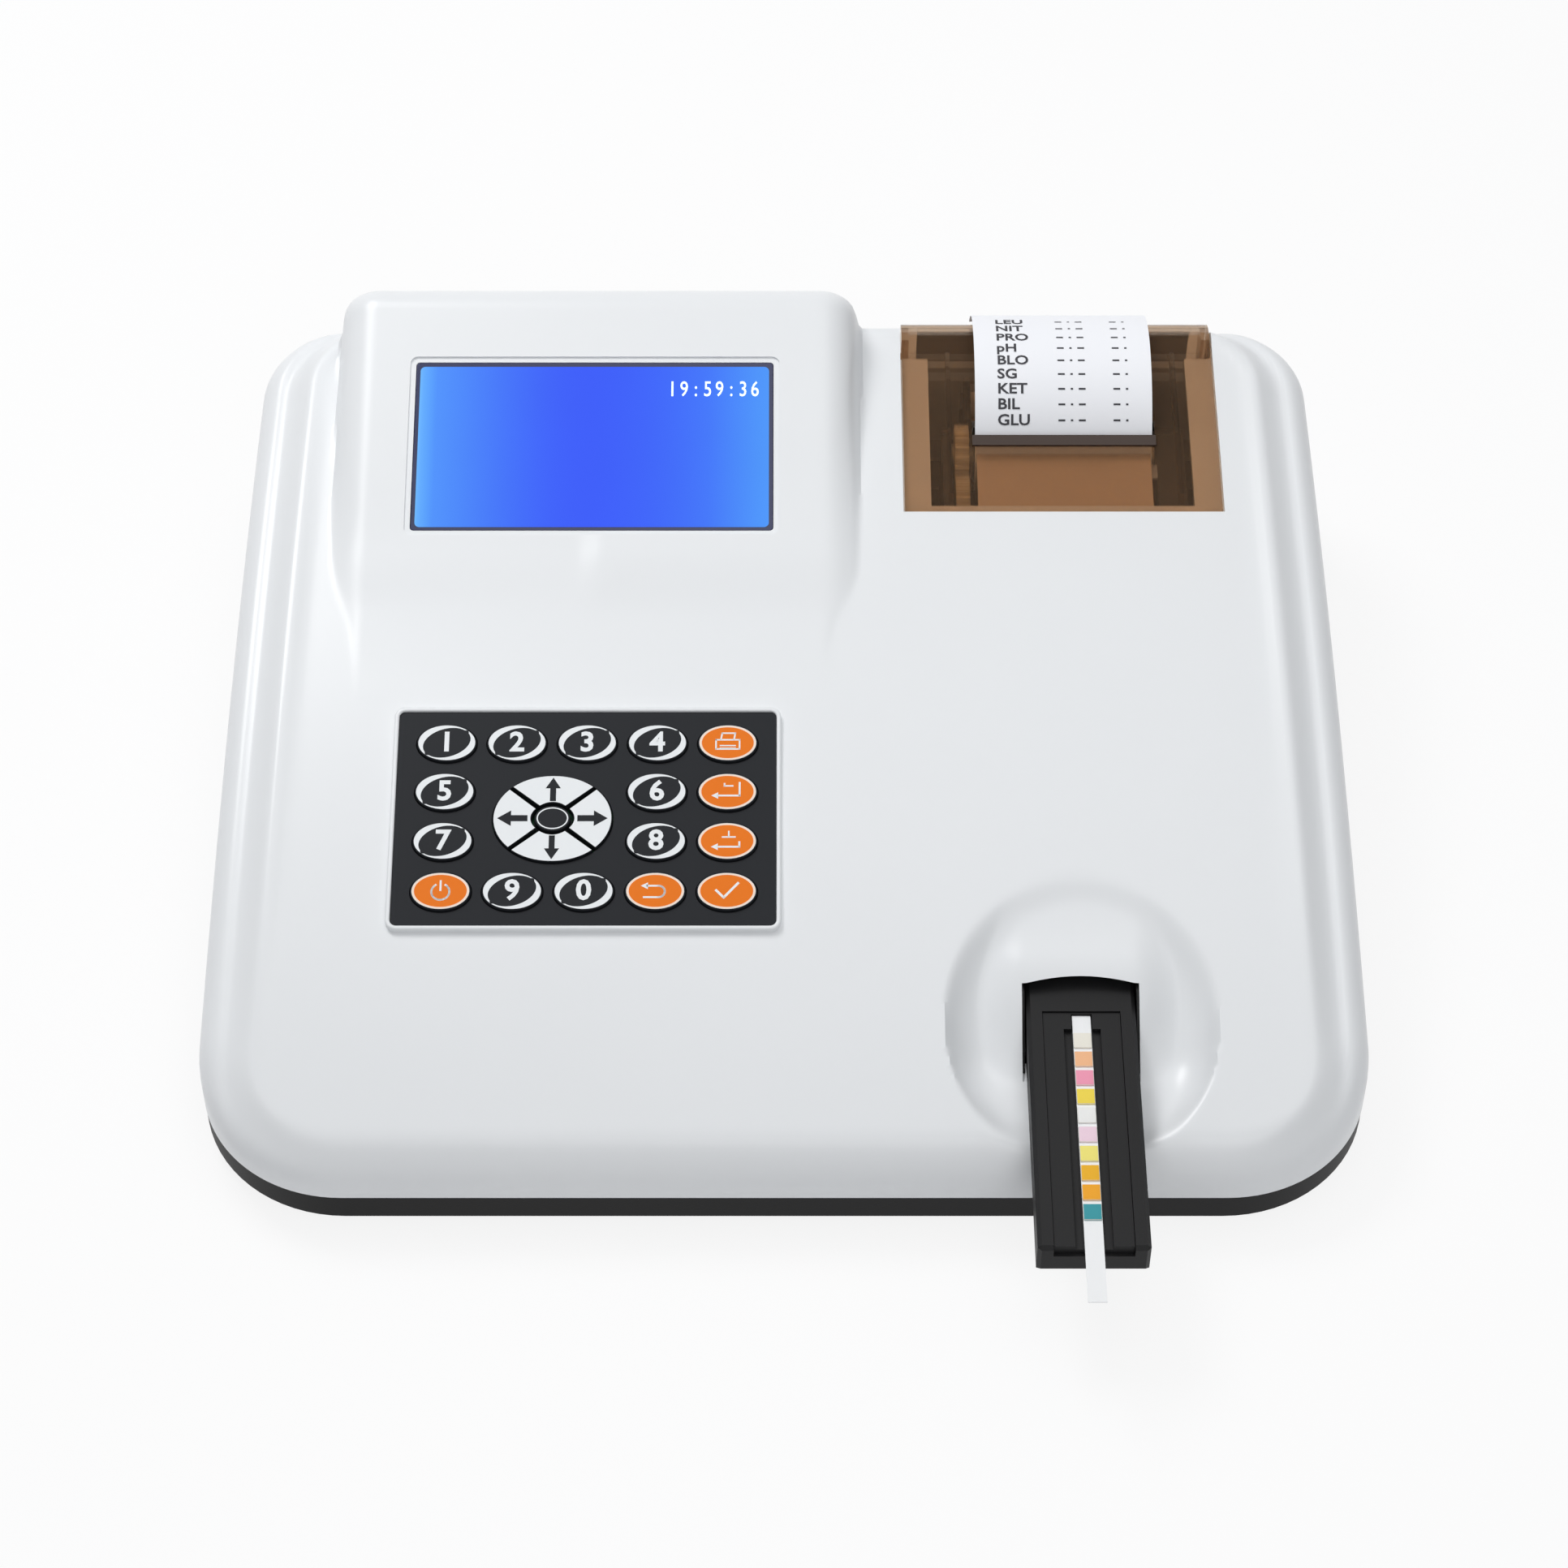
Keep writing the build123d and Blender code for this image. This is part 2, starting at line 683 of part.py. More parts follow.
def make_housing_screws():
    """Screws up through the base into the top shell's posts."""
    head_z = foot_h + 1
    return Compound(children=[screw(x, y, head_z, 1, base_h + 6).solid()
                              for x, y in fixing_points()])


def make_main_board():
    """Circuit board on the base, with its tallest parts, a cable header and screw holes."""
    board = slab(board_x0, board_x1, board_y0, board_y1, board_z, board_z + pcb_t)
    top = board_z + pcb_t
    x, y = (board_x0 + board_x1) / 2, (board_y0 + board_y1) / 2
    board += slab(x - chip_size / 2, x + chip_size / 2, y - chip_size / 2, y + chip_size / 2,
                  top, top + chip_h)
    board += slab(x + shield_x, x + shield_x + shield_w, y + shield_l / 6 - shield_l,
                  y + shield_l / 6, top, top + shield_h)
    board += slab(board_x0 + header_in, board_x0 + header_in + header_w, y - header_l / 2,
                  y + header_l / 2, top, top + header_h)
    for hx, hy in standoffs():
        board -= rod_z(hx, hy, board_z - 1, top + 1, screw_r + screw_fit)
    return board


def make_board_screws():
    """Screws holding the main board down."""
    head_z = board_z + pcb_t + screw_head_h
    return Compound(children=[screw(x, y, head_z, -1, screw_head_h + pcb_t).solid()
                              for x, y in standoffs()])


# --- display ------------------------------------------------------------------------------
def make_lens():
    """Clear display window."""
    return plate(lens_place(), lens_w, lens_l, -lens_recess - lens_t, -lens_recess)


def make_lcd_module():
    """Graphic display behind the window: frame, glass step and board."""
    face = -lens_recess - lens_t
    place = lens_place()
    module = plate(place, module_w, module_l, face - module_t, face)
    corners = [(sx * (module_w / 2 - 4), sy * (module_l / 2 - 4)) for sx in (-1, 1) for sy in (-1, 1)]
    for x, y in corners:
        module -= place * Pos(x, y, face) * Cylinder(screw_r, 3 * module_t)
    return module


# --- keypad -------------------------------------------------------------------------------
def key_names():
    """Key names by column and row, from the top left."""
    return [["key_1", "key_2", "key_3", "key_4", "key_print"],
            ["key_5", None, None, "key_6", "key_enter"],
            ["key_7", None, None, "key_8", "key_feed"],
            ["key_power", "key_9", "key_0", "key_back", "key_confirm"]]


def key_places():
    """Centre of each key on the panel."""
    places = {}
    for row, names in enumerate(key_names()):
        for column, name in enumerate(names):
            if name:
                places[name] = ((column - 2) * key_pitch_x, (1.5 - row) * key_pitch_y)
    return places


def nav_centre():
    """Centre of the direction pad on the panel."""
    return nav_x - pad_x, (nav_y - pad_y) / math.cos(math.radians(pad_slope))


def make_panel():
    """Black keypad panel with an oval hole for each key."""
    place = pad_place()
    panel = plate(place, panel_w, panel_l, -panel_t, 0)
    holes = Part()
    for x, y in key_places().values():
        holes += oval(place, x, y, key_w + 2 * key_fit, key_l + 2 * key_fit, -2 * panel_t, panel_t)
    x, y = nav_centre()
    holes += oval(place, x, y, nav_w + 2 * key_fit, nav_l + 2 * key_fit, -2 * panel_t, panel_t)
    return panel - holes


def make_key(x, y):
    """Oval key cap with a flange under the panel."""
    place = pad_place()
    top = -panel_t - flange_gap
    cap = oval(place, x, y, key_w, key_l, top - flange_t, key_proud)
    cap = chamfer(cap.faces().sort_by(Axis.Z)[-1].edges(), key_proud / 3)
    return cap + oval(place, x, y, key_w + 2 * flange_grow, key_l + 2 * flange_grow,
                      top - flange_t, top)


def make_nav(quarter):
    """One quarter of the direction pad; 0 right, 1 up, 2 left, 3 down."""
    place = pad_place()
    x, y = nav_centre()
    top = -panel_t - flange_gap
    ring = oval(place, x, y, nav_w, nav_l, top - flange_t, key_proud)
    ring = chamfer(ring.faces().sort_by(Axis.Z)[-1].edges(), key_proud / 3)
    ring += oval(place, x, y, nav_w + 2 * flange_grow, nav_l + 2 * flange_grow,
                 top - flange_t, top)
    ring -= oval(place, x, y, nav_centre_w + 2 * nav_gap, nav_centre_l + 2 * nav_gap,
                 2 * top, 2 * key_proud)
    # The wedge's edges run along the oval's diagonals, half a gap in.
    a, b = nav_w, nav_l
    shift = nav_gap / 2 * math.hypot(a, b) / (b if quarter % 2 == 0 else a)
    wedge = [(shift, 0), (shift + 2 * a, 2 * b), (shift + 2 * a, -2 * b)]
    if quarter % 2:
        wedge = [(0, shift), (2 * a, shift + 2 * b), (-2 * a, shift + 2 * b)]
    sign = -1 if quarter > 1 else 1
    points = [(sign * px, sign * py) for px, py in wedge]
    cut = place * Pos(x, y, 2 * top) * extrude(Polygon(*points, align=None), amount=4 * nav_w,
                                                dir=(0, 0, 1))
    return ring & cut


def make_nav_centre():
    """Small oval key in the middle of the direction pad."""
    x, y = nav_centre()
    top = -panel_t - flange_gap
    return oval(pad_place(), x, y, nav_centre_w, nav_centre_l, top - flange_t, key_proud)


def make_keypad_board():
    """Switch board under the keys, held by four pillars under the shell's ledge."""
    place = pad_place()
    top = -panel_t - flange_gap - flange_t - board_gap
    board = plate(place, panel_w + 2 * rim_w, panel_l + 2 * rim_w, top - pcb_t, top)
    for sx in (-1, 1):
        for sy in (-1, 1):
            x, y = sx * (panel_w - panel_ledge) / 2, sy * (panel_l - panel_ledge) / 2
            half = panel_ledge / 2 - panel_fit
            board += place * Pos(x, y, 0) * slab(-half, half, -half, half, top, -panel_t - ledge_t)
    return board


# --- strip transport ----------------------------------------------------------------------
def tray_x(side):
    """Side of the tray; side is -1 or +1."""
    return dish_x + side * tray_w / 2


def rack_spaces():
    """Tooth spaces cut up into the tray's underside."""
    pitch = math.pi * gear_module
    half = pitch / 4 + backlash / 2
    lean = math.tan(math.radians(20)) * gear_module
    top = tray_z0 + 2 * gear_module + tip_gap
    count = int((tray_travel + 2 * pitch) / pitch) + 1
    spaces = []
    for k in range(-count, 2):
        y = rack_gear_y + k * pitch
        lean_top = lean * (1 + tip_gap / gear_module)
        face = [(y - half - lean, tray_z0 - 1), (y - half - lean, tray_z0),
                (y - half + lean_top, top), (y + half - lean_top, top),
                (y + half + lean, tray_z0), (y + half + lean, tray_z0 - 1)]
        spaces.append(side_polygon(face, rack_x - rack_teeth_w / 2, rack_x + rack_teeth_w / 2))
    return spaces


def make_tray():
    """Black tray with a bed for the strip holder and rack teeth underneath."""
    tray = slab(tray_x(-1), tray_x(1), tray_front_y, tray_front_y + tray_l, tray_z0, tray_z1)
    front = tray.faces().sort_by(Axis.Y)[0]
    tray = chamfer(front.edges() + tray.edges().filter_by(Axis.Y).sort_by(Axis.Z)[-2:], tray_edge)
    half = insert_w / 2 + insert_fit
    floor = tray_z1 - insert_t
    tray -= slab(dish_x - half, dish_x + half, tray_front_y - 1, insert_rear_y + insert_fit,
                 floor, tray_z1 + 1)
    return tray - rack_spaces()


def make_holder():
    """Strip holder: long groove with a raised middle and a wedge at its rear."""
    z0, z1 = tray_z1 - insert_t, tray_z1 - groove_h / 2
    half = insert_w / 2
    holder = slab(dish_x - half, dish_x + half, tray_front_y + tray_edge, insert_rear_y, z0, z1)
    groove = slab(dish_x - groove_w / 2, dish_x + groove_w / 2, tray_front_y - 1,
                  insert_rear_y - insert_wedge_l, z1 - groove_h - strip_t, z1 + 1)
    ridge = slab(dish_x - ridge_w / 2, dish_x + ridge_w / 2, tray_front_y - 1,
                 insert_rear_y - insert_wedge_l, 0, z1 - groove_h)
    stop = slab(dish_x - strip_w / 2 - rail_gap, dish_x + strip_w / 2 + rail_gap,
                insert_rear_y - insert_wedge_l - 1, strip_rear_y + rail_gap / 2, z1 - groove_h, z1 + 1)
    return holder - (groove - ridge) - stop


def strip_z():
    """Underside of the strip."""
    return tray_z1 - groove_h / 2 - groove_h


def make_strip():
    """Plastic strip lying along the holder."""
    half = strip_w / 2
    return slab(dish_x - half, dish_x + half, strip_front_y, strip_rear_y,
                strip_z(), strip_z() + strip_t)


def make_reagents():
    """Reagent pads on the strip."""
    half = strip_w / 2 - 0.1
    z = strip_z() + strip_t
    pads = []
    for k in range(pad_count):
        y = reagent_first_y - k * reagent_pitch
        pads.append(slab(dish_x - half, dish_x + half, y - reagent_l / 2, y + reagent_l / 2,
                         z, z + reagent_t))
    return Compound(children=[p.solid() for p in pads])


def rack_gear_z():
    """Height of the rack gear's axle."""
    return tray_z0 + gear_module - gear_module * rack_gear_teeth / 2


def make_rack_gear():
    """Gear under the tray, on its axle."""
    body = gear(rack_gear_teeth, gear_w, 90, 0)
    body += rod_x(-gear_w / 2 - bracket_t - 2.5, gear_w / 2 + bracket_t + 2.5, 0, 0, axle_r)
    return Pos(rack_x, rack_gear_y, rack_gear_z()) * body


def motor_place():
    """Place and phase of the transport motor's pinion."""
    at, phase = meshed(90, rack_gear_teeth, -18, motor_teeth)
    return rack_gear_y + at[0], rack_gear_z() + at[1], phase


def motor_x():
    """Front face of the transport motor."""
    return rack_x - gear_w / 2 - 2 * bracket_t - 2.5


def make_motor_pinion():
    """Pinion with the motor's shaft."""
    y, z, phase = motor_place()
    body = Pos(rack_x, y, z) * gear(motor_teeth, gear_w, phase, 0)
    return body + rod_x(motor_x() - motor_l / 2, rack_x, y, z, motor_shaft_r)


def make_stepper():
    """Square stepper motor with a boss and a bored shaft hole."""
    y, z, _ = motor_place()
    half = motor_size / 2
    body = slab(motor_x() - motor_l, motor_x(), y - half, y + half, z - half, z + half)
    body = chamfer(body.edges().filter_by(Axis.X), 2)
    body += rod_x(motor_x(), motor_x() + 1, y, z, 4)
    return body - rod_x(motor_x() - motor_l / 2 - 1, motor_x() + 2, y, z, motor_shaft_r + axle_fit)


def make_guide_bed():
    """Channel that guides the tray, with gear brackets, legs and posts for the reading head."""
    x0, x1 = tray_x(-1) - rail_gap - bed_wall, tray_x(1) + rail_gap + bed_wall
    low = bed_top_z - bed_floor_t
    bed = slab(x0, x1, bed_front_y, bed_rear_y, low, bed_top_z)
    for a, b in ((x0, x0 + bed_wall), (x1 - bed_wall, x1)):
        bed += slab(a, b, bed_wall_y, bed_rear_y, low, tray_z1 - 1)
        bed += slab(a, b, head_y0, head_y1, low, tray_z1 + head_gap)
        bed += slab(a, b, bed_wall_y, bed_wall_y + 10, floor_z, low)
        bed += slab(a, b, bed_rear_y - 24, bed_rear_y - 8, floor_z, low)
    gz = rack_gear_z()
    reach = gear_module * (rack_gear_teeth / 2 + 1) + 1
    bed -= slab(rack_x - gear_w / 2 - 0.7, rack_x + gear_w / 2 + 0.7, rack_gear_y - reach,
                motor_place()[0] + 3, low - 1, bed_top_z + 1)
    for side in (-1, 1):
        a, b = sorted((rack_x + side * (gear_w / 2 + 0.7), rack_x + side * (gear_w / 2 + 0.7 + bracket_t)))
        arm = slab(a, b, rack_gear_y - 2.5 * axle_r, rack_gear_y + 2.5 * axle_r, gz - 2.2 * axle_r, low)
        bed += arm - rod_x(a - 1, b + 1, rack_gear_y, gz, axle_r + axle_fit)
    return bed


def make_optical_head():
    """Reading head bridging the tray, with a window slot underneath."""
    x0, x1 = tray_x(-1) - rail_gap - bed_wall, tray_x(1) + rail_gap + bed_wall
    z0 = tray_z1 + head_gap
    head = slab(x0, x1, head_y0, head_y1, z0, z0 + head_h)
    head = chamfer(head.faces().sort_by(Axis.Z)[-1].edges(), 2)
    return head - slab(dish_x - 5, dish_x + 5, head_y0 + 8, head_y1 - 8, z0 - 1, z0 + head_h / 2)


def make_home_sensor():
    """Fork sensor behind the tray's rear end, on the guide bed."""
    y0 = bed_rear_y - 9
    body = slab(dish_x - 7, dish_x + 7, y0, y0 + 8, bed_top_z, bed_top_z + 8)
    return body - slab(dish_x - 1.5, dish_x + 1.5, y0 - 1, y0 + 9, bed_top_z + 2.5, bed_top_z + 9)


# --- printer ------------------------------------------------------------------------------
def ring_arc(cy, cz, r, a0, a1):
    """Arc in side view about a centre, from angle a0 to a1."""
    def at(a):
        return cy + r * math.cos(math.radians(a)), cz + r * math.sin(math.radians(a))
    return ThreePointArc(at(a0), at((a0 + a1) / 2), at(a1)), at(a0), at(a1)


def make_lid():
    """Smoky lid that rolls over the rear edge: paper slot, ribs, hinge ears and pins."""
    outer = lid_section(0)
    lid = along_x(outer, lid_x0, lid_x1) - along_x(lid_section(lid_t), lid_x0 - 1, lid_x1 + 1)
    lid &= slab(lid_x0 - 1, lid_x1 + 1, lid_y0, housing_d + 1, lid_end_z, housing_d)
    lid += lid_ribs()
    for a, b, p, q in ((lid_x0, lid_x0 + ear_t, lid_x0 - hinge_pin_l, lid_x0 + 1),
                       (lid_x1 - ear_t, lid_x1, lid_x1 - 1, lid_x1 + hinge_pin_l)):
        ear = rod_x(a, b, hinge_y, hinge_z, 2 * hinge_pin_r)
        ear += slab(a, b, hinge_y - 2 * hinge_pin_r, hinge_y + 2 * hinge_pin_r, hinge_z, housing_d)
        lid += (ear & along_x(lid_section(lid_t / 2), a, b)) + rod_x(p, q, hinge_y, hinge_z, hinge_pin_r)
    return lid - slab(slot_x0, slot_x1, slot_y0, slot_y0 + slot_l, platen_z, housing_d)


def lid_section(inset):
    """Housing's side view with its rear roll-over, drawn in by inset."""
    face = side_face(inset, inset, inset, 0) & Pos(housing_d / 2 - inset, housing_d / 2) * \
        Rectangle(housing_d, 2 * housing_d)
    corner = face.vertices().sort_by_distance((housing_d - inset, top_z(housing_d) - inset))[0]
    return fillet(corner, shoulder_r - inset)


def lid_ribs():
    """Two ribs under the lid."""
    section = lid_section(lid_t / 2) - lid_section(lid_rib_h + lid_t)
    ribs = Part()
    for x in (lid_rib_x0, lid_rib_x1):
        ribs += along_x(section, x - lid_rib_t / 2, x + lid_rib_t / 2)
    return ribs & slab(lid_x0, lid_x1, lid_y0 + lid_ledge, lid_rib_y1, 0, housing_d)


def make_tear_bar():
    """Saw-toothed metal strip in front of the slot."""
    z = top_z(slot_y0)
    tilt = math.degrees(math.atan2(top_z(slot_y0) - top_z(slot_y0 - tear_w), tear_w))
    bar = slab(-paper_w / 2 - 1, paper_w / 2 + 1, tear_reach - tear_w, tear_reach,
               tear_gap, tear_gap + tear_t)
    return Location((paper_x, slot_y0, z), (tilt, 0, 0)) * bar


def make_tail():
    """Printed paper from the slot, curling back over the lid."""
    run = tail_start - exit_l - web_split
    a0, a1 = exit_angle + 90, tail_end_angle + 90
    inner, i0, i1 = ring_arc(tail_cy, tail_cz, tail_r, a0, a1)
    outer, o0, o1 = ring_arc(tail_cy, tail_cz, tail_r + paper_t, a0, a1)
    back = (-exit_d[0] * run, -exit_d[1] * run)
    i2, o2 = (i0[0] + back[0], i0[1] + back[1]), (o0[0] + back[0], o0[1] + back[1])
    lines = [Line(i2, i0), inner, Line(i1, o1), outer, Line(o0, o2), Line(o2, i2)]
    face = make_face([line.edge() for line in lines])
    return along_x(face, paper_x - paper_w / 2, paper_x + paper_w / 2)


def make_web():
    """Paper from the roll, round the front of the platen and up towards the slot."""
    gap = math.dist((platen_y, platen_z), (roll_y, roll_z))
    toward = math.degrees(math.atan2(roll_z - platen_z, roll_y - platen_y))
    a1 = toward - math.degrees(math.acos((web_r - roll_r - web_gap) / gap)) + 360
    n = (math.cos(math.radians(a1)), math.sin(math.radians(a1)))
    inner, i0, i1 = ring_arc(platen_y, platen_z, web_r, a1, exit_angle + 90)
    outer, o0, o1 = ring_arc(platen_y, platen_z, web_r + paper_t, a1, exit_angle + 90)
    r0 = roll_r + web_gap
    start_i = (roll_y + n[0] * r0, roll_z + n[1] * r0)
    start_o = (roll_y + n[0] * (r0 + paper_t), roll_z + n[1] * (r0 + paper_t))
    end_i = (i1[0] + exit_d[0] * exit_l, i1[1] + exit_d[1] * exit_l)
    end_o = (o1[0] + exit_d[0] * exit_l, o1[1] + exit_d[1] * exit_l)
    lines = [Line(start_i, i0), inner, Line(i1, end_i), Line(end_i, end_o), Line(end_o, o1),
             outer, Line(o0, start_o), Line(start_o, start_i)]
    face = make_face([line.edge() for line in lines])
    return along_x(face, paper_x - paper_w / 2, paper_x + paper_w / 2)


def make_roll():
    """Paper roll."""
    roll = rod_x(paper_x - paper_w / 2, paper_x + paper_w / 2, roll_y, roll_z, roll_r)
    return roll - rod_x(paper_x - paper_w, paper_x + paper_w, roll_y, roll_z, core_r)


def make_core():
    """Card core of the roll."""
    core = rod_x(paper_x - paper_w / 2, paper_x + paper_w / 2, roll_y, roll_z, core_r)
    return core - rod_x(paper_x - paper_w, paper_x + paper_w, roll_y, roll_z, core_bore_r)


def make_cradle():
    """Trough for the roll, with two cheeks, a foot and guide blocks."""
    half = paper_w / 2 + cradle_gap
    x0, x1 = paper_x - half - cradle_t, paper_x + half + cradle_t
    r = roll_r + cradle_gap
    y0, y1 = roll_y - r * 0.45, housing_d - wall - 2
    low = roll_z - r - cradle_t
    block = slab(x0, x1, y0, y1, low, roll_z + 2)
    block -= rod_x(paper_x - half, paper_x + half, roll_y, roll_z, r)
    for a, b in ((x0, x0 + cradle_t), (x1 - cradle_t, x1)):
        block += slab(a, b, y0 - 8, roll_y + 4, low, cheek_top_z)
        block += slab(a, b, y0, roll_y + 12, floor_z, low)
    return block


def frame_x():
    """Left plate's and right block's near faces."""
    left = feed_gear_x - feed_gear_w / 2 - 1
    return left, paper_x + paper_w / 2 + 1.5


def make_frame():
    """Printer frame: left plate, right block, lower bridge and the idler's pin."""
    left, right = frame_x()
    frame = slab(left - frame_plate_t, left, frame_y0, frame_y1, frame_low_z, frame_top_z)
    frame += slab(right, right + frame_block_t, frame_y0, frame_y1, frame_low_z, frame_top_z)
    frame += slab(left - frame_plate_t, right + frame_block_t, frame_y0, frame_y1 - 16,
                  frame_low_z - frame_plate_t, frame_low_z)
    for a, b in ((left - frame_plate_t, left), (right, right + frame_plate_t)):
        frame += slab(a, b, frame_y0, frame_y1 - 16, floor_z, frame_low_z)
    frame -= rod_x(left - frame_plate_t - 1, right + frame_block_t + 1, platen_y, platen_z,
                   platen_shaft_r + platen_shaft_fit)
    at, _ = meshed(0, platen_teeth, idler_angle, idler_teeth)
    frame += rod_x(left - 1, feed_gear_x + feed_gear_w / 2, platen_y + at[0], platen_z + at[1],
                   idler_pin_r)
    return frame


def make_platen():
    """Rubber platen roller."""
    roller = rod_x(paper_x - paper_w / 2, paper_x + paper_w / 2, platen_y, platen_z, platen_r)
    return roller - rod_x(0, 2 * paper_x, platen_y, platen_z, platen_shaft_r)


def make_platen_gear():
    """Platen's shaft with its gear."""
    left, right = frame_x()
    shaft = rod_x(left - frame_plate_t, right + frame_block_t / 2, platen_y, platen_z, platen_shaft_r)
    return shaft + Pos(feed_gear_x, platen_y, platen_z) * gear(platen_teeth, feed_gear_w, 0, 0)


def idler_place():
    """Place and phase of the idler gear."""
    at, phase = meshed(0, platen_teeth, idler_angle, idler_teeth)
    return platen_y + at[0], platen_z + at[1], phase


def make_idler():
    """Idler gear on the frame's pin."""
    y, z, phase = idler_place()
    return Pos(feed_gear_x, y, z) * gear(idler_teeth, feed_gear_w, phase, idler_pin_r + axle_fit)


def pinion_place():
    """Place and phase of the feed motor's pinion."""
    y, z, phase = idler_place()
    at, turned = meshed(phase, idler_teeth, pinion_angle, pinion_teeth)
    return y + at[0], z + at[1], turned


def feed_motor_x():
    """Left end of the feed motor."""
    return feed_gear_x + feed_gear_w / 2 + 1.5


def make_feed_pinion():
    """Feed motor's pinion and shaft."""
    y, z, phase = pinion_place()
    body = Pos(feed_gear_x, y, z) * gear(pinion_teeth, feed_gear_w, phase, 0)
    return body + rod_x(feed_gear_x, feed_motor_x() + feed_motor_l / 2, y, z, feed_shaft_r)


def make_feed_motor():
    """Round feed motor in a saddle."""
    y, z, _ = pinion_place()
    x0 = feed_motor_x()
    body = rod_x(x0, x0 + feed_motor_l, y, z, feed_motor_r)
    body += slab(x0 + 4, x0 + feed_motor_l - 4, y - feed_motor_r / 2, y + feed_motor_r / 2,
                 frame_low_z, z)
    return body - rod_x(x0 - 1, x0 + feed_motor_l / 2 + 1, y, z, feed_shaft_r + axle_fit)


def make_print_head():
    """Thermal print head in front of the platen, on the frame's block."""
    _, right = frame_x()
    y1 = platen_y - web_r - paper_t - web_gap
    head = slab(right - print_head_w, right, y1 - print_head_t, y1,
                platen_z - print_head_h / 2, platen_z + print_head_h / 2)
    return head


# --- rear fittings ------------------------------------------------------------------------
def bezel(x, z, w, h):
    """Flange outside the rear wall and body through it."""
    fit = 0.15
    flange = slab(x - w / 2 - bezel_w, x + w / 2 + bezel_w, housing_d, housing_d + bezel_t,
                  z - h / 2 - bezel_w, z + h / 2 + bezel_w)
    return flange + slab(x - w / 2 + fit, x + w / 2 - fit, housing_d - wall, housing_d + bezel_t,
                         z - h / 2 + fit, z + h / 2 - fit)


def make_jack():
    """Low-voltage power inlet."""
    jack = bezel(jack_x, fitting_z, jack_w, jack_h)
    jack += slab(jack_x - 4.5, jack_x + 4.5, housing_d - jack_l, housing_d - wall,
                 fitting_z - 4.5, fitting_z + 4.5)
    hole = Pos(jack_x, housing_d, fitting_z) * Rot(90, 0, 0) * Cylinder(3.2, 2 * (jack_l - wall))
    pin = Pos(jack_x, housing_d - jack_l / 2, fitting_z) * Rot(90, 0, 0) * Cylinder(1, jack_l)
    return jack - hole + pin


def make_port():
    """Nine-way data port."""
    port = bezel(port_x, fitting_z, port_w, port_h)
    port += slab(port_x - 9, port_x + 9, housing_d - port_l, housing_d - wall,
                 fitting_z - 4, fitting_z + 4)
    lip = slab(port_x - 8.5, port_x + 8.5, housing_d, housing_d + bezel_t + port_lip,
               fitting_z - 4.2, fitting_z + 4.2)
    return port + lip - slab(port_x - 7.5, port_x + 7.5, housing_d - 2, housing_d + 9,
                             fitting_z - 3.2, fitting_z + 3.2)


def make_switch_frame():
    """Frame of the power switch, open for its rocker, with two pivot holes."""
    frame = bezel(switch_x, switch_z, switch_w, switch_h)
    frame += slab(switch_x - switch_w / 2 + 0.5, switch_x + switch_w / 2 - 0.5,
                  housing_d - switch_l, housing_d - wall,
                  switch_z - switch_h / 2 + 0.5, switch_z + switch_h / 2 - 0.5)
    half_w, half_h = switch_w / 2 - 2, switch_h / 2 - 2
    frame -= slab(switch_x - half_w, switch_x + half_w, housing_d - switch_l + 3, housing_d + 9,
                  switch_z - half_h, switch_z + half_h)
    return frame - rod_x(switch_x - half_w - 1.2, switch_x + half_w + 1.2, housing_d - 2, switch_z,
                         rocker_pin_r + axle_fit)


def make_rocker():
    """Rocker with its pivot pins."""
    half_w, half_h = switch_w / 2 - 2 - rocker_gap, switch_h / 2 - 2 - 2 * rocker_gap
    y = housing_d - 2
    points = [(y - 4, switch_z - half_h * 0.6), (y + 3, switch_z - half_h), (y + 5, switch_z - half_h * 0.9),
              (y + 3.6, switch_z), (y + 5, switch_z + half_h * 0.9), (y + 3, switch_z + half_h),
              (y - 4, switch_z + half_h * 0.6)]
    body = side_polygon(points, switch_x - half_w, switch_x + half_w)
    reach = switch_w / 2 - 2 + 1
    return body + rod_x(switch_x - reach, switch_x + reach, y, switch_z, rocker_pin_r)


# --- writing ------------------------------------------------------------------------------
def pieces():
    """Every piece by name."""
    made = {
        "base_housing": make_base(), "top_shell": make_top_shell(), "rubber_feet": make_feet(),
        "housing_screws": make_housing_screws(), "main_board": make_main_board(),
        "board_screws": make_board_screws(), "lcd_lens": make_lens(),
        "lcd_module": make_lcd_module(), "keypad_panel": make_panel(),
        "keypad_board": make_keypad_board(), "strip_tray": make_tray(),
        "strip_holder": make_holder(), "test_strip": make_strip(),
        "reagent_pads": make_reagents(), "rack_gear": make_rack_gear(),
        "motor_pinion": make_motor_pinion(), "stepper_motor": make_stepper(),
        "guide_bed": make_guide_bed(), "optical_head": make_optical_head(),
        "home_sensor": make_home_sensor(), "printer_cover": make_lid(),
        "tear_bar": make_tear_bar(), "paper_tail": make_tail(), "paper_web": make_web(),
        "paper_roll": make_roll(), "roll_core": make_core(), "roll_cradle": make_cradle(),
        "printer_frame": make_frame(), "platen_roller": make_platen(),
        "platen_gear": make_platen_gear(), "feed_idler": make_idler(),
        "feed_pinion": make_feed_pinion(), "feed_motor": make_feed_motor(),
        "print_head": make_print_head(), "dc_jack": make_jack(), "serial_port": make_port(),
        "switch_frame": make_switch_frame(), "power_rocker": make_rocker(),
    }
    for name, (x, y) in key_places().items():
        made[name] = make_key(x, y)
    for quarter, name in enumerate(("nav_right", "nav_up", "nav_left", "nav_down")):
        made[name] = make_nav(quarter)
    made["nav_centre"] = make_nav_centre()
    return made


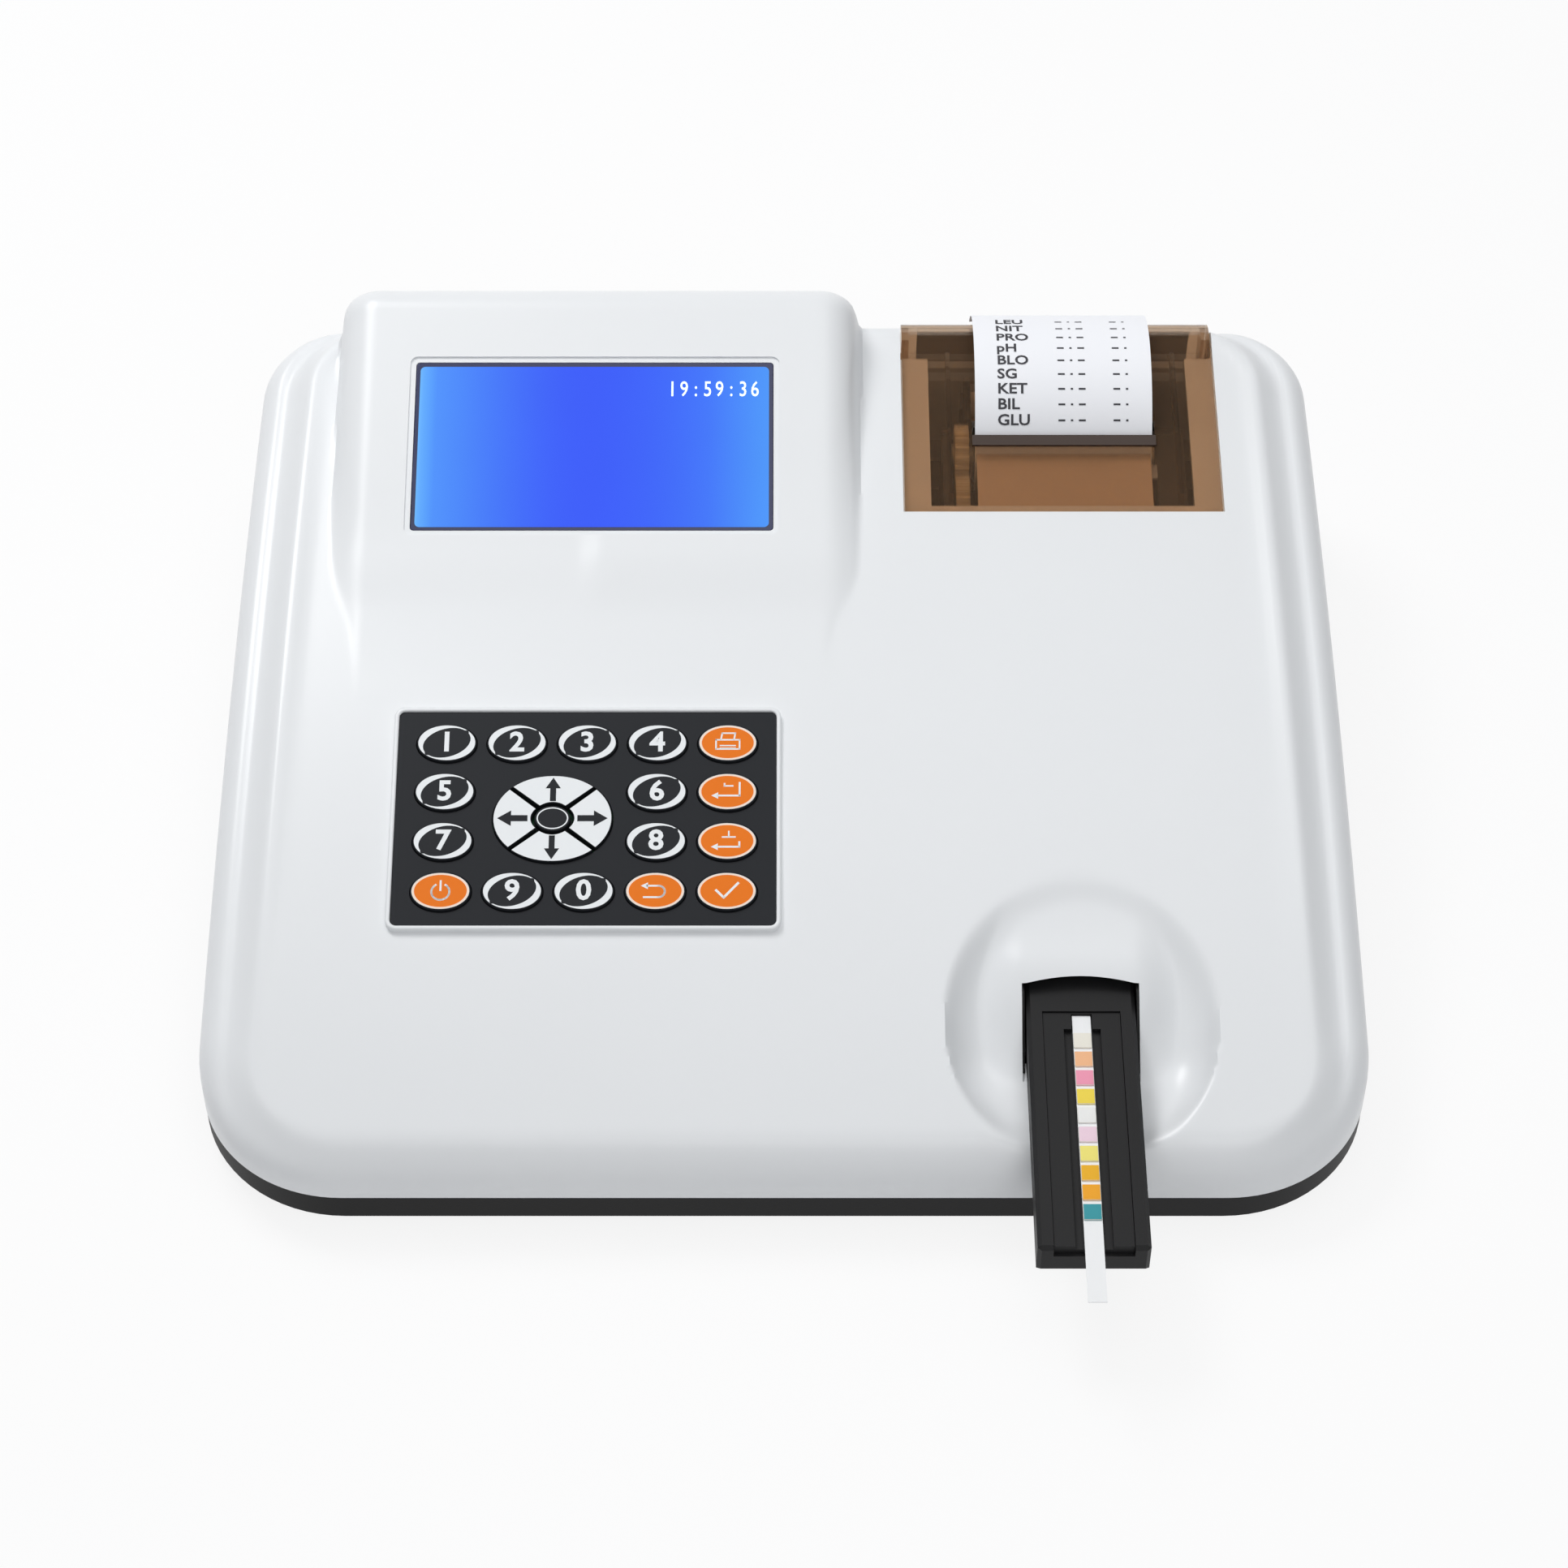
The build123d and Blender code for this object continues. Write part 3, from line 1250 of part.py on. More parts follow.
def main():
    """Write one STEP file for each piece."""
    os.makedirs("parts", exist_ok=True)
    for name, shape in pieces().items():
        export_step(Pos(0, shift_y, 0) * shape, "parts/" + name + ".step")


if __name__ == "__main__":
    main()
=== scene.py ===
"""Bench-top strip analyzer: skin, display, keypad, tray, printer and their finishes."""

from __future__ import annotations

import logging
import math
from dataclasses import dataclass, field
from enum import Enum
from typing import Callable, Iterable, Sequence

import bmesh
import bpy
import numpy as np
from mathutils import Matrix, Vector

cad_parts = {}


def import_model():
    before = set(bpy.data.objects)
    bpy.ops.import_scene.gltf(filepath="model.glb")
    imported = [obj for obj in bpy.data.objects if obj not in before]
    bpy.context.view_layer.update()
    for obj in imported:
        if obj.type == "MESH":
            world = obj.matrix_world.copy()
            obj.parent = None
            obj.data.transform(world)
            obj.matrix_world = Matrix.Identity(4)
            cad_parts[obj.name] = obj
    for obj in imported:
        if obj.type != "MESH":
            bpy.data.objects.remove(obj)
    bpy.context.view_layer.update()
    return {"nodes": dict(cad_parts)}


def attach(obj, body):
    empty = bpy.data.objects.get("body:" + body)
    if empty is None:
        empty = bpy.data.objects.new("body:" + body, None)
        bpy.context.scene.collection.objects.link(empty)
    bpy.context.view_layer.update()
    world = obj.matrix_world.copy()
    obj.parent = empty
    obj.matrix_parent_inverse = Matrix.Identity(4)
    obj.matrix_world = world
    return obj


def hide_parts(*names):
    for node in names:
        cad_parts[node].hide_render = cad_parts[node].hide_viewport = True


log = logging.getLogger("analyzer")

MM = 0.001
ROUND_STEPS = 4  # steps of a rounded edge
LEAST_FACES = 100  # a cut that leaves fewer faces has failed
FRONT = -129.8  # housing's front edge along Y in the row frame, mm

Point2 = tuple[float, float]
Point3 = tuple[float, float, float]


def rgb(red: int, green: int, blue: int) -> tuple[float, float, float, float]:
    """Linear colour of a display colour.

    Args:
        red, green, blue: Channels from 0 to 255.

    Returns:
        Linear channels with full alpha.
    """
    def lin(value: float) -> float:
        """One channel made linear."""
        part = value / 255
        return part / 12.92 if part <= 0.04045 else ((part + 0.055) / 1.055) ** 2.4

    return lin(red), lin(green), lin(blue), 1.0


# --- node trees ---------------------------------------------------------------------------
Feeds = dict[str | int, object]


def feed(tree: bpy.types.NodeTree, node: bpy.types.Node, feeds: Feeds) -> None:
    """Fill a node's inputs.

    Args:
        tree: Tree that holds the node.
        node: Node to fill.
        feeds: Socket to link, or value to set, by the input's name or number.
    """
    for key, value in feeds.items():
        if isinstance(value, bpy.types.NodeSocket):
            tree.links.new(value, node.inputs[key])
        else:
            node.inputs[key].default_value = value


def add_node(tree: bpy.types.NodeTree, kind: str, feeds: Feeds | None = None,
             **settings: object) -> bpy.types.Node:
    """Add a node to a tree.

    Args:
        tree: Tree that gets the node.
        kind: Blender's name of the node type.
        feeds: What its inputs get, as for feed.
        settings: Properties of the node, set before the inputs.

    Returns:
        The new node.
    """
    made = tree.nodes.new(kind)
    for key, value in settings.items():
        setattr(made, key, value)
    feed(tree, made, feeds or {})
    return made


def new_group(name: str, kind: str, inputs: Sequence[tuple[str, str, object]],
              outputs: Sequence[tuple[str, str]]) -> bpy.types.NodeTree:
    """Empty node group with its sockets.

    Args:
        name: Name of the group.
        kind: Blender's name of the tree type.
        inputs: Label, socket type and default of each input.
        outputs: Label and socket type of each output.

    Returns:
        The new group.
    """
    tree = bpy.data.node_groups.new(name, kind)
    for label, socket, default in inputs:
        made = tree.interface.new_socket(label, in_out="INPUT", socket_type=f"NodeSocket{socket}")
        if default is not None:
            made.default_value = default
    for label, socket in outputs:
        tree.interface.new_socket(label, in_out="OUTPUT", socket_type=f"NodeSocket{socket}")
    return tree


# --- finishes -----------------------------------------------------------------------------
class Surface(Enum):
    """How fine the moulded or machined texture of a finish is, in marks per metre."""

    SMOOTH = 90.0
    SATIN = 1400.0
    SPARK = 2600.0
    FIBRE = 900.0


def detail_group() -> bpy.types.NodeTree:
    """Shader group for colour drift, gloss drift and fine relief.

    Returns:
        Group with Color, Roughness and Height outputs.
    """
    name = "surface_detail"
    if name in bpy.data.node_groups:
        return bpy.data.node_groups[name]
    tree = new_group(name, "ShaderNodeTree", (
        ("Color", "Color", (0.8, 0.8, 0.8, 1)), ("Tint", "Color", (0.7, 0.7, 0.7, 1)),
        ("Drift", "Float", 0.1), ("Scale", "Float", 1400.0), ("Roughness", "Float", 0.4),
        ("Gloss Drift", "Float", 0.05),
    ), (("Color", "Color"), ("Roughness", "Float"), ("Height", "Float")))
    entry = add_node(tree, "NodeGroupInput").outputs
    where = add_node(tree, "ShaderNodeTexCoord").outputs["Object"]
    broad = add_node(tree, "ShaderNodeTexNoise",
                     {"Vector": where, "Scale": 22.0, "Detail": 4.0}).outputs["Fac"]
    fine = add_node(tree, "ShaderNodeTexNoise",
                    {"Vector": where, "Scale": entry["Scale"], "Detail": 3.0}).outputs["Fac"]
    share = add_node(tree, "ShaderNodeMath", {0: broad, 1: entry["Drift"]}, operation="MULTIPLY")
    mix = add_node(tree, "ShaderNodeMix",
                   {0: share.outputs[0], 6: entry["Color"], 7: entry["Tint"]}, data_type="RGBA")
    gloss = add_node(tree, "ShaderNodeMath",
                     {0: broad, 1: entry["Gloss Drift"], 2: entry["Roughness"]},
                     operation="MULTIPLY_ADD")
    add_node(tree, "NodeGroupOutput",
             {"Color": mix.outputs[2], "Roughness": gloss.outputs[0], "Height": fine})
    return tree


@dataclass(frozen=True)
class Finish:
    """One finish: colour, gloss, texture and any glow or clearness."""

    name: str
    color: tuple[float, float, float, float]
    tint: tuple[float, float, float, float]
    roughness: float = 0.4
    drift: float = 0.25
    gloss_drift: float = 0.06
    surface: Surface = Surface.SATIN
    relief: float = 0.05
    depth: float = 0.0001
    metallic: float = 0.0
    clear: float = 0.0
    glow: float = 0.0
    specular: float = 0.5
    ior: float = 1.45
    alpha: float = 1.0

    def make(self) -> bpy.types.Material:
        """Build the material once and reuse it.

        Returns:
            Material of this finish.
        """
        label = f"finish_{self.name}"
        if label in bpy.data.materials:
            return bpy.data.materials[label]
        made = bpy.data.materials.new(label)
        made.use_nodes = True
        tree = made.node_tree
        detail = add_node(tree, "ShaderNodeGroup", {
            "Color": self.color, "Tint": self.tint, "Drift": self.drift,
            "Scale": self.surface.value, "Roughness": self.roughness - self.gloss_drift / 2,
            "Gloss Drift": self.gloss_drift}, node_tree=detail_group()).outputs
        bump = add_node(tree, "ShaderNodeBump", {
            "Strength": self.relief, "Distance": self.depth, "Height": detail["Height"]})
        feeds = {"Base Color": detail["Color"], "Roughness": detail["Roughness"],
                 "Normal": bump.outputs["Normal"], "Metallic": self.metallic,
                 "Specular IOR Level": self.specular, "IOR": self.ior,
                 "Transmission Weight": self.clear, "Alpha": self.alpha}
        if self.glow:
            feeds |= {"Emission Color": detail["Color"], "Emission Strength": self.glow}
        feed(tree, tree.nodes["Principled BSDF"], feeds)
        return made


SHELL = Finish("shell_satin", rgb(236, 238, 240), rgb(229, 231, 234), 0.3, 0.3, 0.05,
               Surface.SPARK, 0.06, 0.00006)
BASE = Finish("base_black", rgb(15, 15, 16), rgb(21, 21, 22), 0.5, 0.5, 0.08, Surface.SPARK, 0.25,
              specular=0.2)
RUBBER = Finish("foot_rubber", rgb(28, 28, 28), rgb(44, 43, 42), 0.8, 0.5, 0.1, Surface.SATIN, 0.3)
STEEL = Finish("plated_steel", rgb(176, 178, 182), rgb(150, 152, 158), 0.3, 0.4, 0.12,
               Surface.FIBRE, 0.12, metallic=1.0)
BOARD = Finish("board_green", rgb(20, 92, 52), rgb(14, 70, 40), 0.4, 0.5, 0.1, Surface.FIBRE, 0.1)
PANEL = Finish("panel_black", rgb(34, 36, 40), rgb(29, 31, 35), 0.38, 0.4, 0.06,
               Surface.SPARK, 0.08, specular=0.12)
LEGEND = Finish("legend_white", rgb(238, 241, 243), rgb(228, 232, 235), 0.32, 0.3, 0.04,
                Surface.SPARK, 0.04)
LEGEND_RING = Finish("legend_ring", rgb(249, 226, 208), rgb(246, 214, 190), 0.34, 0.3, 0.04,
                     Surface.SPARK, 0.04)
ORANGE = Finish("key_orange", rgb(240, 122, 10), rgb(232, 112, 4), 0.36, 0.4, 0.05,
                Surface.SPARK, 0.05, specular=0.2)
TRAY = Finish("tray_black", rgb(27, 27, 28), rgb(20, 20, 21), 0.48, 0.4, 0.08, Surface.SPARK, 0.2,
              specular=0.2)
STRIP = Finish("strip_film", rgb(246, 247, 248), rgb(240, 241, 243), 0.3, 0.2, 0.04,
               Surface.SMOOTH, 0.05)
PAPER = Finish("thermal_paper", rgb(249, 250, 254), rgb(243, 245, 251), 0.55, 0.4, 0.08,
               Surface.FIBRE, 0.15)
INK = Finish("printed_ink", rgb(38, 38, 44), rgb(60, 60, 66), 0.6, 0.4, 0.05, Surface.FIBRE, 0.05)
SMOKE = Finish("lid_smoke", rgb(182, 152, 122), rgb(172, 141, 111), 0.05, 0.3, 0.02,
               Surface.SMOOTH, 0.0, alpha=0.8, specular=0.3, clear=0.92, ior=1.12)
SMOKE_EDGE = Finish("lid_edge", rgb(58, 42, 34), rgb(48, 34, 26), 0.2, 0.3, 0.05, Surface.SMOOTH,
                    0.05)
WINDOW = Finish("window_clear", rgb(255, 255, 255), rgb(250, 252, 255), 0.03, 0.2, 0.02,
                Surface.SMOOTH, 0.0, clear=1.0, ior=1.1)
CREAM = Finish("gear_cream", rgb(226, 214, 190), rgb(214, 200, 172), 0.45, 0.4, 0.08, Surface.SATIN,
               0.1)
BRASS = Finish("gear_brass", rgb(196, 164, 96), rgb(180, 146, 80), 0.3, 0.4, 0.1, Surface.FIBRE,
               0.1, metallic=1.0)
DARK = Finish("printer_dark", rgb(44, 42, 42), rgb(56, 53, 52), 0.5, 0.4, 0.08, Surface.SATIN, 0.15)
GREY = Finish("inner_grey", rgb(92, 94, 98), rgb(80, 82, 86), 0.5, 0.4, 0.08, Surface.SATIN, 0.15)
CARD = Finish("core_card", rgb(150, 122, 88), rgb(132, 106, 74), 0.8, 0.5, 0.1, Surface.FIBRE, 0.3)
BAFFLE = Finish("lid_baffle", rgb(150, 138, 126), rgb(136, 124, 112), 0.5, 0.4, 0.08,
                Surface.SATIN, 0.1)
GUIDE = Finish("paper_guide", rgb(214, 196, 180), rgb(202, 182, 166), 0.55, 0.4, 0.08,
               Surface.FIBRE, 0.1)
PIXEL = Finish("lcd_pixel", rgb(214, 232, 255), rgb(206, 226, 255), 0.4, 0.2, 0.02, Surface.SMOOTH,
               0.0, glow=0.75)

NAVY = Finish("display_edge", rgb(16, 26, 74), rgb(22, 32, 90), 0.18, 0.3, 0.05,
              Surface.SMOOTH, 0.02)

NODE_FINISH: dict[str, Finish] = {
    "base_housing": BASE, "rubber_feet": RUBBER, "housing_screws": STEEL, "main_board": BOARD,
    "board_screws": STEEL, "keypad_board": BOARD, "lcd_module": DARK, "guide_bed": GREY,
    "stepper_motor": STEEL, "optical_head": DARK, "home_sensor": DARK, "roll_cradle": DARK,
    "printer_frame": DARK, "print_head": STEEL, "feed_motor": STEEL, "dc_jack": DARK,
    "serial_port": STEEL, "switch_frame": DARK, "power_rocker": DARK, "rack_gear": CREAM,
    "motor_pinion": BRASS, "paper_roll": PAPER, "roll_core": CARD, "platen_roller": RUBBER,
    "platen_gear": CREAM, "feed_idler": CREAM, "feed_pinion": BRASS, "paper_web": PAPER,
    "test_strip": STRIP, "tear_bar": SMOKE_EDGE, "keypad_panel": PANEL, "strip_holder": TRAY,
    "strip_tray": TRAY, "lcd_lens": WINDOW, "printer_cover": SMOKE,
}


# --- meshes -------------------------------------------------------------------------------
def world(x: float, y: float, z: float) -> Vector:
    """Row-frame point of a place given in mm from the housing's front edge."""
    return Vector((x * MM, (y + FRONT) * MM, z * MM))


def tilted(x: float, y: float, z: float, slope: float) -> Callable[[float, float, float], Vector]:
    """Map from a plate's own millimetres to the row frame.

    Args:
        x, y, z: Plate's middle, in mm from the housing's front edge.
        slope: Climb towards the rear, in degrees.

    Returns:
        Function of the plate's own x, y and height.
    """
    turn = Matrix.Rotation(math.radians(slope), 3, "X")

    def place(u: float, v: float, w: float) -> Vector:
        """One point of the plate."""
        return world(x, y, z) + turn @ Vector((u, v, w)) * MM

    return place


Placer = Callable[[float, float, float], Vector]


@dataclass
class Mesher:
    """Collects faces of one piece, each with its finish."""

    name: str
    points: list[Vector] = field(default_factory=list)
    faces: list[list[int]] = field(default_factory=list)
    kinds: list[int] = field(default_factory=list)
    finishes: list[Finish] = field(default_factory=list)

    def _kind(self, finish: Finish) -> int:
        """Index of a finish on this piece."""
        if finish not in self.finishes:
            self.finishes.append(finish)
        return self.finishes.index(finish)

    def add(self, points: Iterable[Vector], faces: Iterable[Sequence[int]], finish: Finish) -> None:
        """Add a patch with its own points.

        Args:
            points: Points in the row frame.
            faces: Corners of each face, as numbers of those points.
            finish: Finish of the patch.
        """
        start = len(self.points)
        self.points.extend(points)
        kind = self._kind(finish)
        for face in faces:
            self.faces.append([start + i for i in face])
            self.kinds.append(kind)

    def prism(self, outline: Sequence[Point2], low: float, high: float, place: Placer,
              finish: Finish, side: Finish | None = None, round_by: float = 0.0) -> None:
        """Closed block on an outline, with a narrow rounded top edge.

        Args:
            outline: Corner points, anticlockwise.
            low, high: Heights of the bottom and the top.
            place: Map to the row frame.
            finish: Finish of the top and, without side, of everything.
            side: Finish of the flanks.
            round_by: Width of the rounded edge.
        """
        count = len(outline)
        cx = sum(p[0] for p in outline) / count
        cy = sum(p[1] for p in outline) / count
        steps = [(0.0, low), (0.0, high)]
        if round_by:
            turns = (math.pi / 2 * k / ROUND_STEPS for k in range(ROUND_STEPS + 1))
            steps[1:] = [(round_by * (1 - math.cos(a)), high - round_by * (1 - math.sin(a)))
                         for a in turns]
        rings = []
        for inset, height in steps:
            shares = [1 - inset / (math.hypot(x - cx, y - cy) or 1.0) for x, y in outline]
            rings.append([place(cx + (x - cx) * part, cy + (y - cy) * part, height)
                          for (x, y), part in zip(outline, shares)])
        walls = [[r * count + i, r * count + (i + 1) % count, (r + 1) * count + (i + 1) % count,
                  (r + 1) * count + i] for r in range(len(rings) - 1) for i in range(count)]
        self.add([p for ring in rings for p in ring], walls + [list(range(count))[::-1]],
                 side or finish)
        self.add(rings[-1], [list(range(count))], finish)

    def slab(self, outline: Sequence[Point2], x0: float, x1: float, finish: Finish) -> None:
        """Closed block with one section all along X.

        Args:
            outline: Section's Y and Z, in mm from the housing's front edge.
            x0, x1: Ends of the block.
            finish: Finish of the block.
        """
        n = len(outline)
        faces = [[i, n + i, n + (i + 1) % n, (i + 1) % n] for i in range(n)]
        self.add([world(x, y, z) for x in (x0, x1) for y, z in outline],
                 faces + [list(range(n)), [n + i for i in range(n)][::-1]], finish)

    def flat(self, outline: Sequence[Point2], height: float, place: Placer, finish: Finish) -> None:
        """Printed patch, a closed block of a few hundredths of a millimetre."""
        self.prism(outline, height - 0.02, height, place, finish)

    def stroke(self, path: Sequence[Point2], width: float, height: float, place: Placer,
               finish: Finish, closed: bool = False) -> None:
        """Printed line of even width.

        Args:
            path: Points of the line.
            width: Width of the line.
            height: Height of its upper face.
            place: Map to the row frame.
            finish: Finish of the line.
            closed: Whether the last point joins the first.
        """
        ends = [*path[1:], path[0]] if closed else path[1:]
        for (ax, ay), (bx, by) in zip(path, ends):
            reach = math.hypot(bx - ax, by - ay) or 1.0
            ux, uy = (bx - ax) / reach * width / 2, (by - ay) / reach * width / 2
            ax, ay, bx, by = ax - ux * 0.8, ay - uy * 0.8, bx + ux * 0.8, by + uy * 0.8
            self.flat([(ax + uy, ay - ux), (bx + uy, by - ux), (bx - uy, by + ux),
                       (ax - uy, ay + ux)], height, place, finish)

    def lettering(self, words: str, size: float, x: float, y: float, height: float,
                  place: Placer, finish: Finish, bold: float = 0.0, widen: float = 1.0,
                  align: str = "CENTER") -> None:
        """Printed words, centred on a point of the plate or starting there.

        Args:
            words: What is printed.
            size: Size of the letters.
            x, y: Point of the plate.
            height: Height of the print.
            place: Map to the row frame.
            finish: Finish of the print.
            bold: Growth of each stroke.
            widen: Stretch across the plate.
            align: How the words lie about x.
        """
        curve = bpy.data.curves.new("legend", "FONT")
        curve.body, curve.size, curve.offset = words, size, bold
        curve.align_x, curve.align_y = align, "CENTER"
        curve.resolution_u = 3
        holder = bpy.data.objects.new("legend", curve)
        mesh = bpy.data.meshes.new_from_object(holder)
        points = [place(x + v.co.x * widen, y + v.co.y, height) for v in mesh.vertices]
        self.add(points, [list(p.vertices) for p in mesh.polygons], finish)
        bpy.data.objects.remove(holder)
        bpy.data.curves.remove(curve)
        bpy.data.meshes.remove(mesh)

    def make(self, body: str, replaces: Sequence[str] = (), angle: float = 35.0,
             slot: str | None = None) -> bpy.types.Object:
        """Turn the faces into a piece that rides on a body.

        Args:
            body: Body of the frame that carries the piece.
            replaces: Nodes of the frame that the piece stands for.
            angle: Edges sharper than this stay sharp, in degrees.
            slot: Not used.

        Returns:
            The finished object.
        """
        mesh = bpy.data.meshes.new(self.name)
        mesh.from_pydata([tuple(p) for p in self.points], [], self.faces)
        for finish in self.finishes:
            mesh.materials.append(finish.make())
        mesh.polygons.foreach_set("material_index", self.kinds)
        mesh.update()
        piece = bpy.data.objects.new(self.name, mesh)
        bpy.context.scene.collection.objects.link(piece)
        smooth(piece, angle)
        dress(piece, body, replaces)
        return piece


def smooth(piece: bpy.types.Object, angle: float) -> None:
    """Shade a piece smooth.

    Args:
        piece: Object to shade.
        angle: Edges sharper than this stay crisp, in degrees.
    """
    mesh = piece.data
    mesh.polygons.foreach_set("use_smooth", [True] * len(mesh.polygons))
    work = bmesh.new()
    work.from_mesh(mesh)
    limit = math.radians(angle)
    for edge in work.edges:
        edge.smooth = len(edge.link_faces) == 2 and edge.calc_face_angle(0.0) < limit
    work.to_mesh(mesh)
    work.free()


def dress(piece: bpy.types.Object, body: str, replaces: Sequence[str]) -> None:
    """Fix a piece to its body.

    Args:
        piece: Object to fix.
        body: Body of the frame that carries it.
        replaces: Nodes of the frame that it stands for.
    """
    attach(piece, body)
    if replaces:
        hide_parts(*replaces)
    log.info("%s rides on %s with %d faces", piece.name, body, len(piece.data.polygons))


def oval(x: float, y: float, w: float, l: float, turn: float = 0.0,
         count: int = 64) -> list[Point2]:
    """Outline of an oval.

    Args:
        x, y: Its middle.
        w, l: Its size across and along.
        turn: Its turn, in degrees.
        count: Number of points.

    Returns:
        Points, anticlockwise.
    """
    c, s = math.cos(math.radians(turn)), math.sin(math.radians(turn))
    ring = []
    for k in range(count):
        a = 2 * math.pi * k / count
        u, v = w / 2 * math.cos(a), l / 2 * math.sin(a)
        ring.append((x + u * c - v * s, y + u * s + v * c))
    return ring


def arc(x: float, y: float, r: float, a0: float, a1: float, count: int = 16) -> list[Point2]:
    """Points of an arc.

    Args:
        x, y: Its centre.
        r: Its radius.
        a0, a1: Its ends, in degrees.
        count: Number of steps.

    Returns:
        Points from the first end to the second.
    """
    return [(x + r * math.cos(math.radians(a0 + (a1 - a0) * k / count)),
             y + r * math.sin(math.radians(a0 + (a1 - a0) * k / count))) for k in range(count + 1)]


def box_outline(x: float, y: float, w: float, l: float, r: float = 0.0,
                count: int = 6) -> list[Point2]:
    """Outline of a rectangle with rounded corners.

    Args:
        x, y: Its middle.
        w, l: Its size across and along.
        r: Radius of its corners.
        count: Steps in each corner.

    Returns:
        Points, anticlockwise.
    """
    ring = []
    for cx, cy, start in ((-1, -1, -180), (1, -1, -90), (1, 1, 0), (-1, 1, 90)):
        mx, my = x + cx * (w / 2 - r), y + cy * (l / 2 - r)
        ring += arc(mx, my, r, start, start + 90, count) if r > 0 else [(mx, my)]
    return ring


def grid_faces(n: int, m: int, start: int, flip: bool) -> list[list[int]]:
    """Quads of a grid of points.

    Args:
        n, m: Rows and points in a row.
        start: Number of the first point.
        flip: Whether the quads face the other way.

    Returns:
        Corners of each quad.
    """
    quads = [[a, a + 1, a + m + 1, a + m] for i in range(n - 1)
             for a in range(start + i * m, start + i * m + m - 1)]
    return [quad[::-1] for quad in quads] if flip else quads


def grid_border(n: int, m: int, start: int) -> list[int]:
    """Numbers of the points round a grid.

    Args:
        n, m: Rows and points in a row.
        start: Number of the first point.

    Returns:
        Numbers, anticlockwise from the first point.
    """
    return [*range(start, start + m), *(start + i * m + m - 1 for i in range(1, n)),
            *(start + (n - 1) * m + j for j in range(m - 2, -1, -1)),
            *(start + i * m for i in range(n - 2, 0, -1))]


def grid_sides(n: int, m: int, border: Sequence[int]) -> list[list[int]]:
    """Cut a border at the grid's four corners.

    Args:
        n, m: Rows and points in a row.
        border: Numbers in the order of grid_border.

    Returns:
        Numbers along each side, both corners included.
    """
    cuts = (0, m - 1, m + n - 2, 2 * m + n - 3, 2 * (m + n) - 4)
    loop = [*border, border[0]]
    return [loop[a:b + 1] for a, b in zip(cuts, cuts[1:])]


# --- housing ------------------------------------------------------------------------------
def ramp(value: np.ndarray | float, low: float, high: float) -> np.ndarray:
    """Smooth step from 0 at low to 1 at high."""
    part = np.clip((np.asarray(value, float) - low) / (high - low), 0, 1)
    return part * part * (3 - 2 * part)


def soft_max(a: np.ndarray, b: np.ndarray, blend: float) -> np.ndarray:
    """Larger of two heights, with a rounded inner corner."""
    gap = np.clip(0.5 + 0.5 * (a - b) / blend, 0, 1)
    return b * (1 - gap) + a * gap + blend * gap * (1 - gap)


def soft_min(a: np.ndarray, b: np.ndarray, blend: float) -> np.ndarray:
    """Smaller of two heights, with a rounded outer corner."""
    return -soft_max(-a, -b, blend)


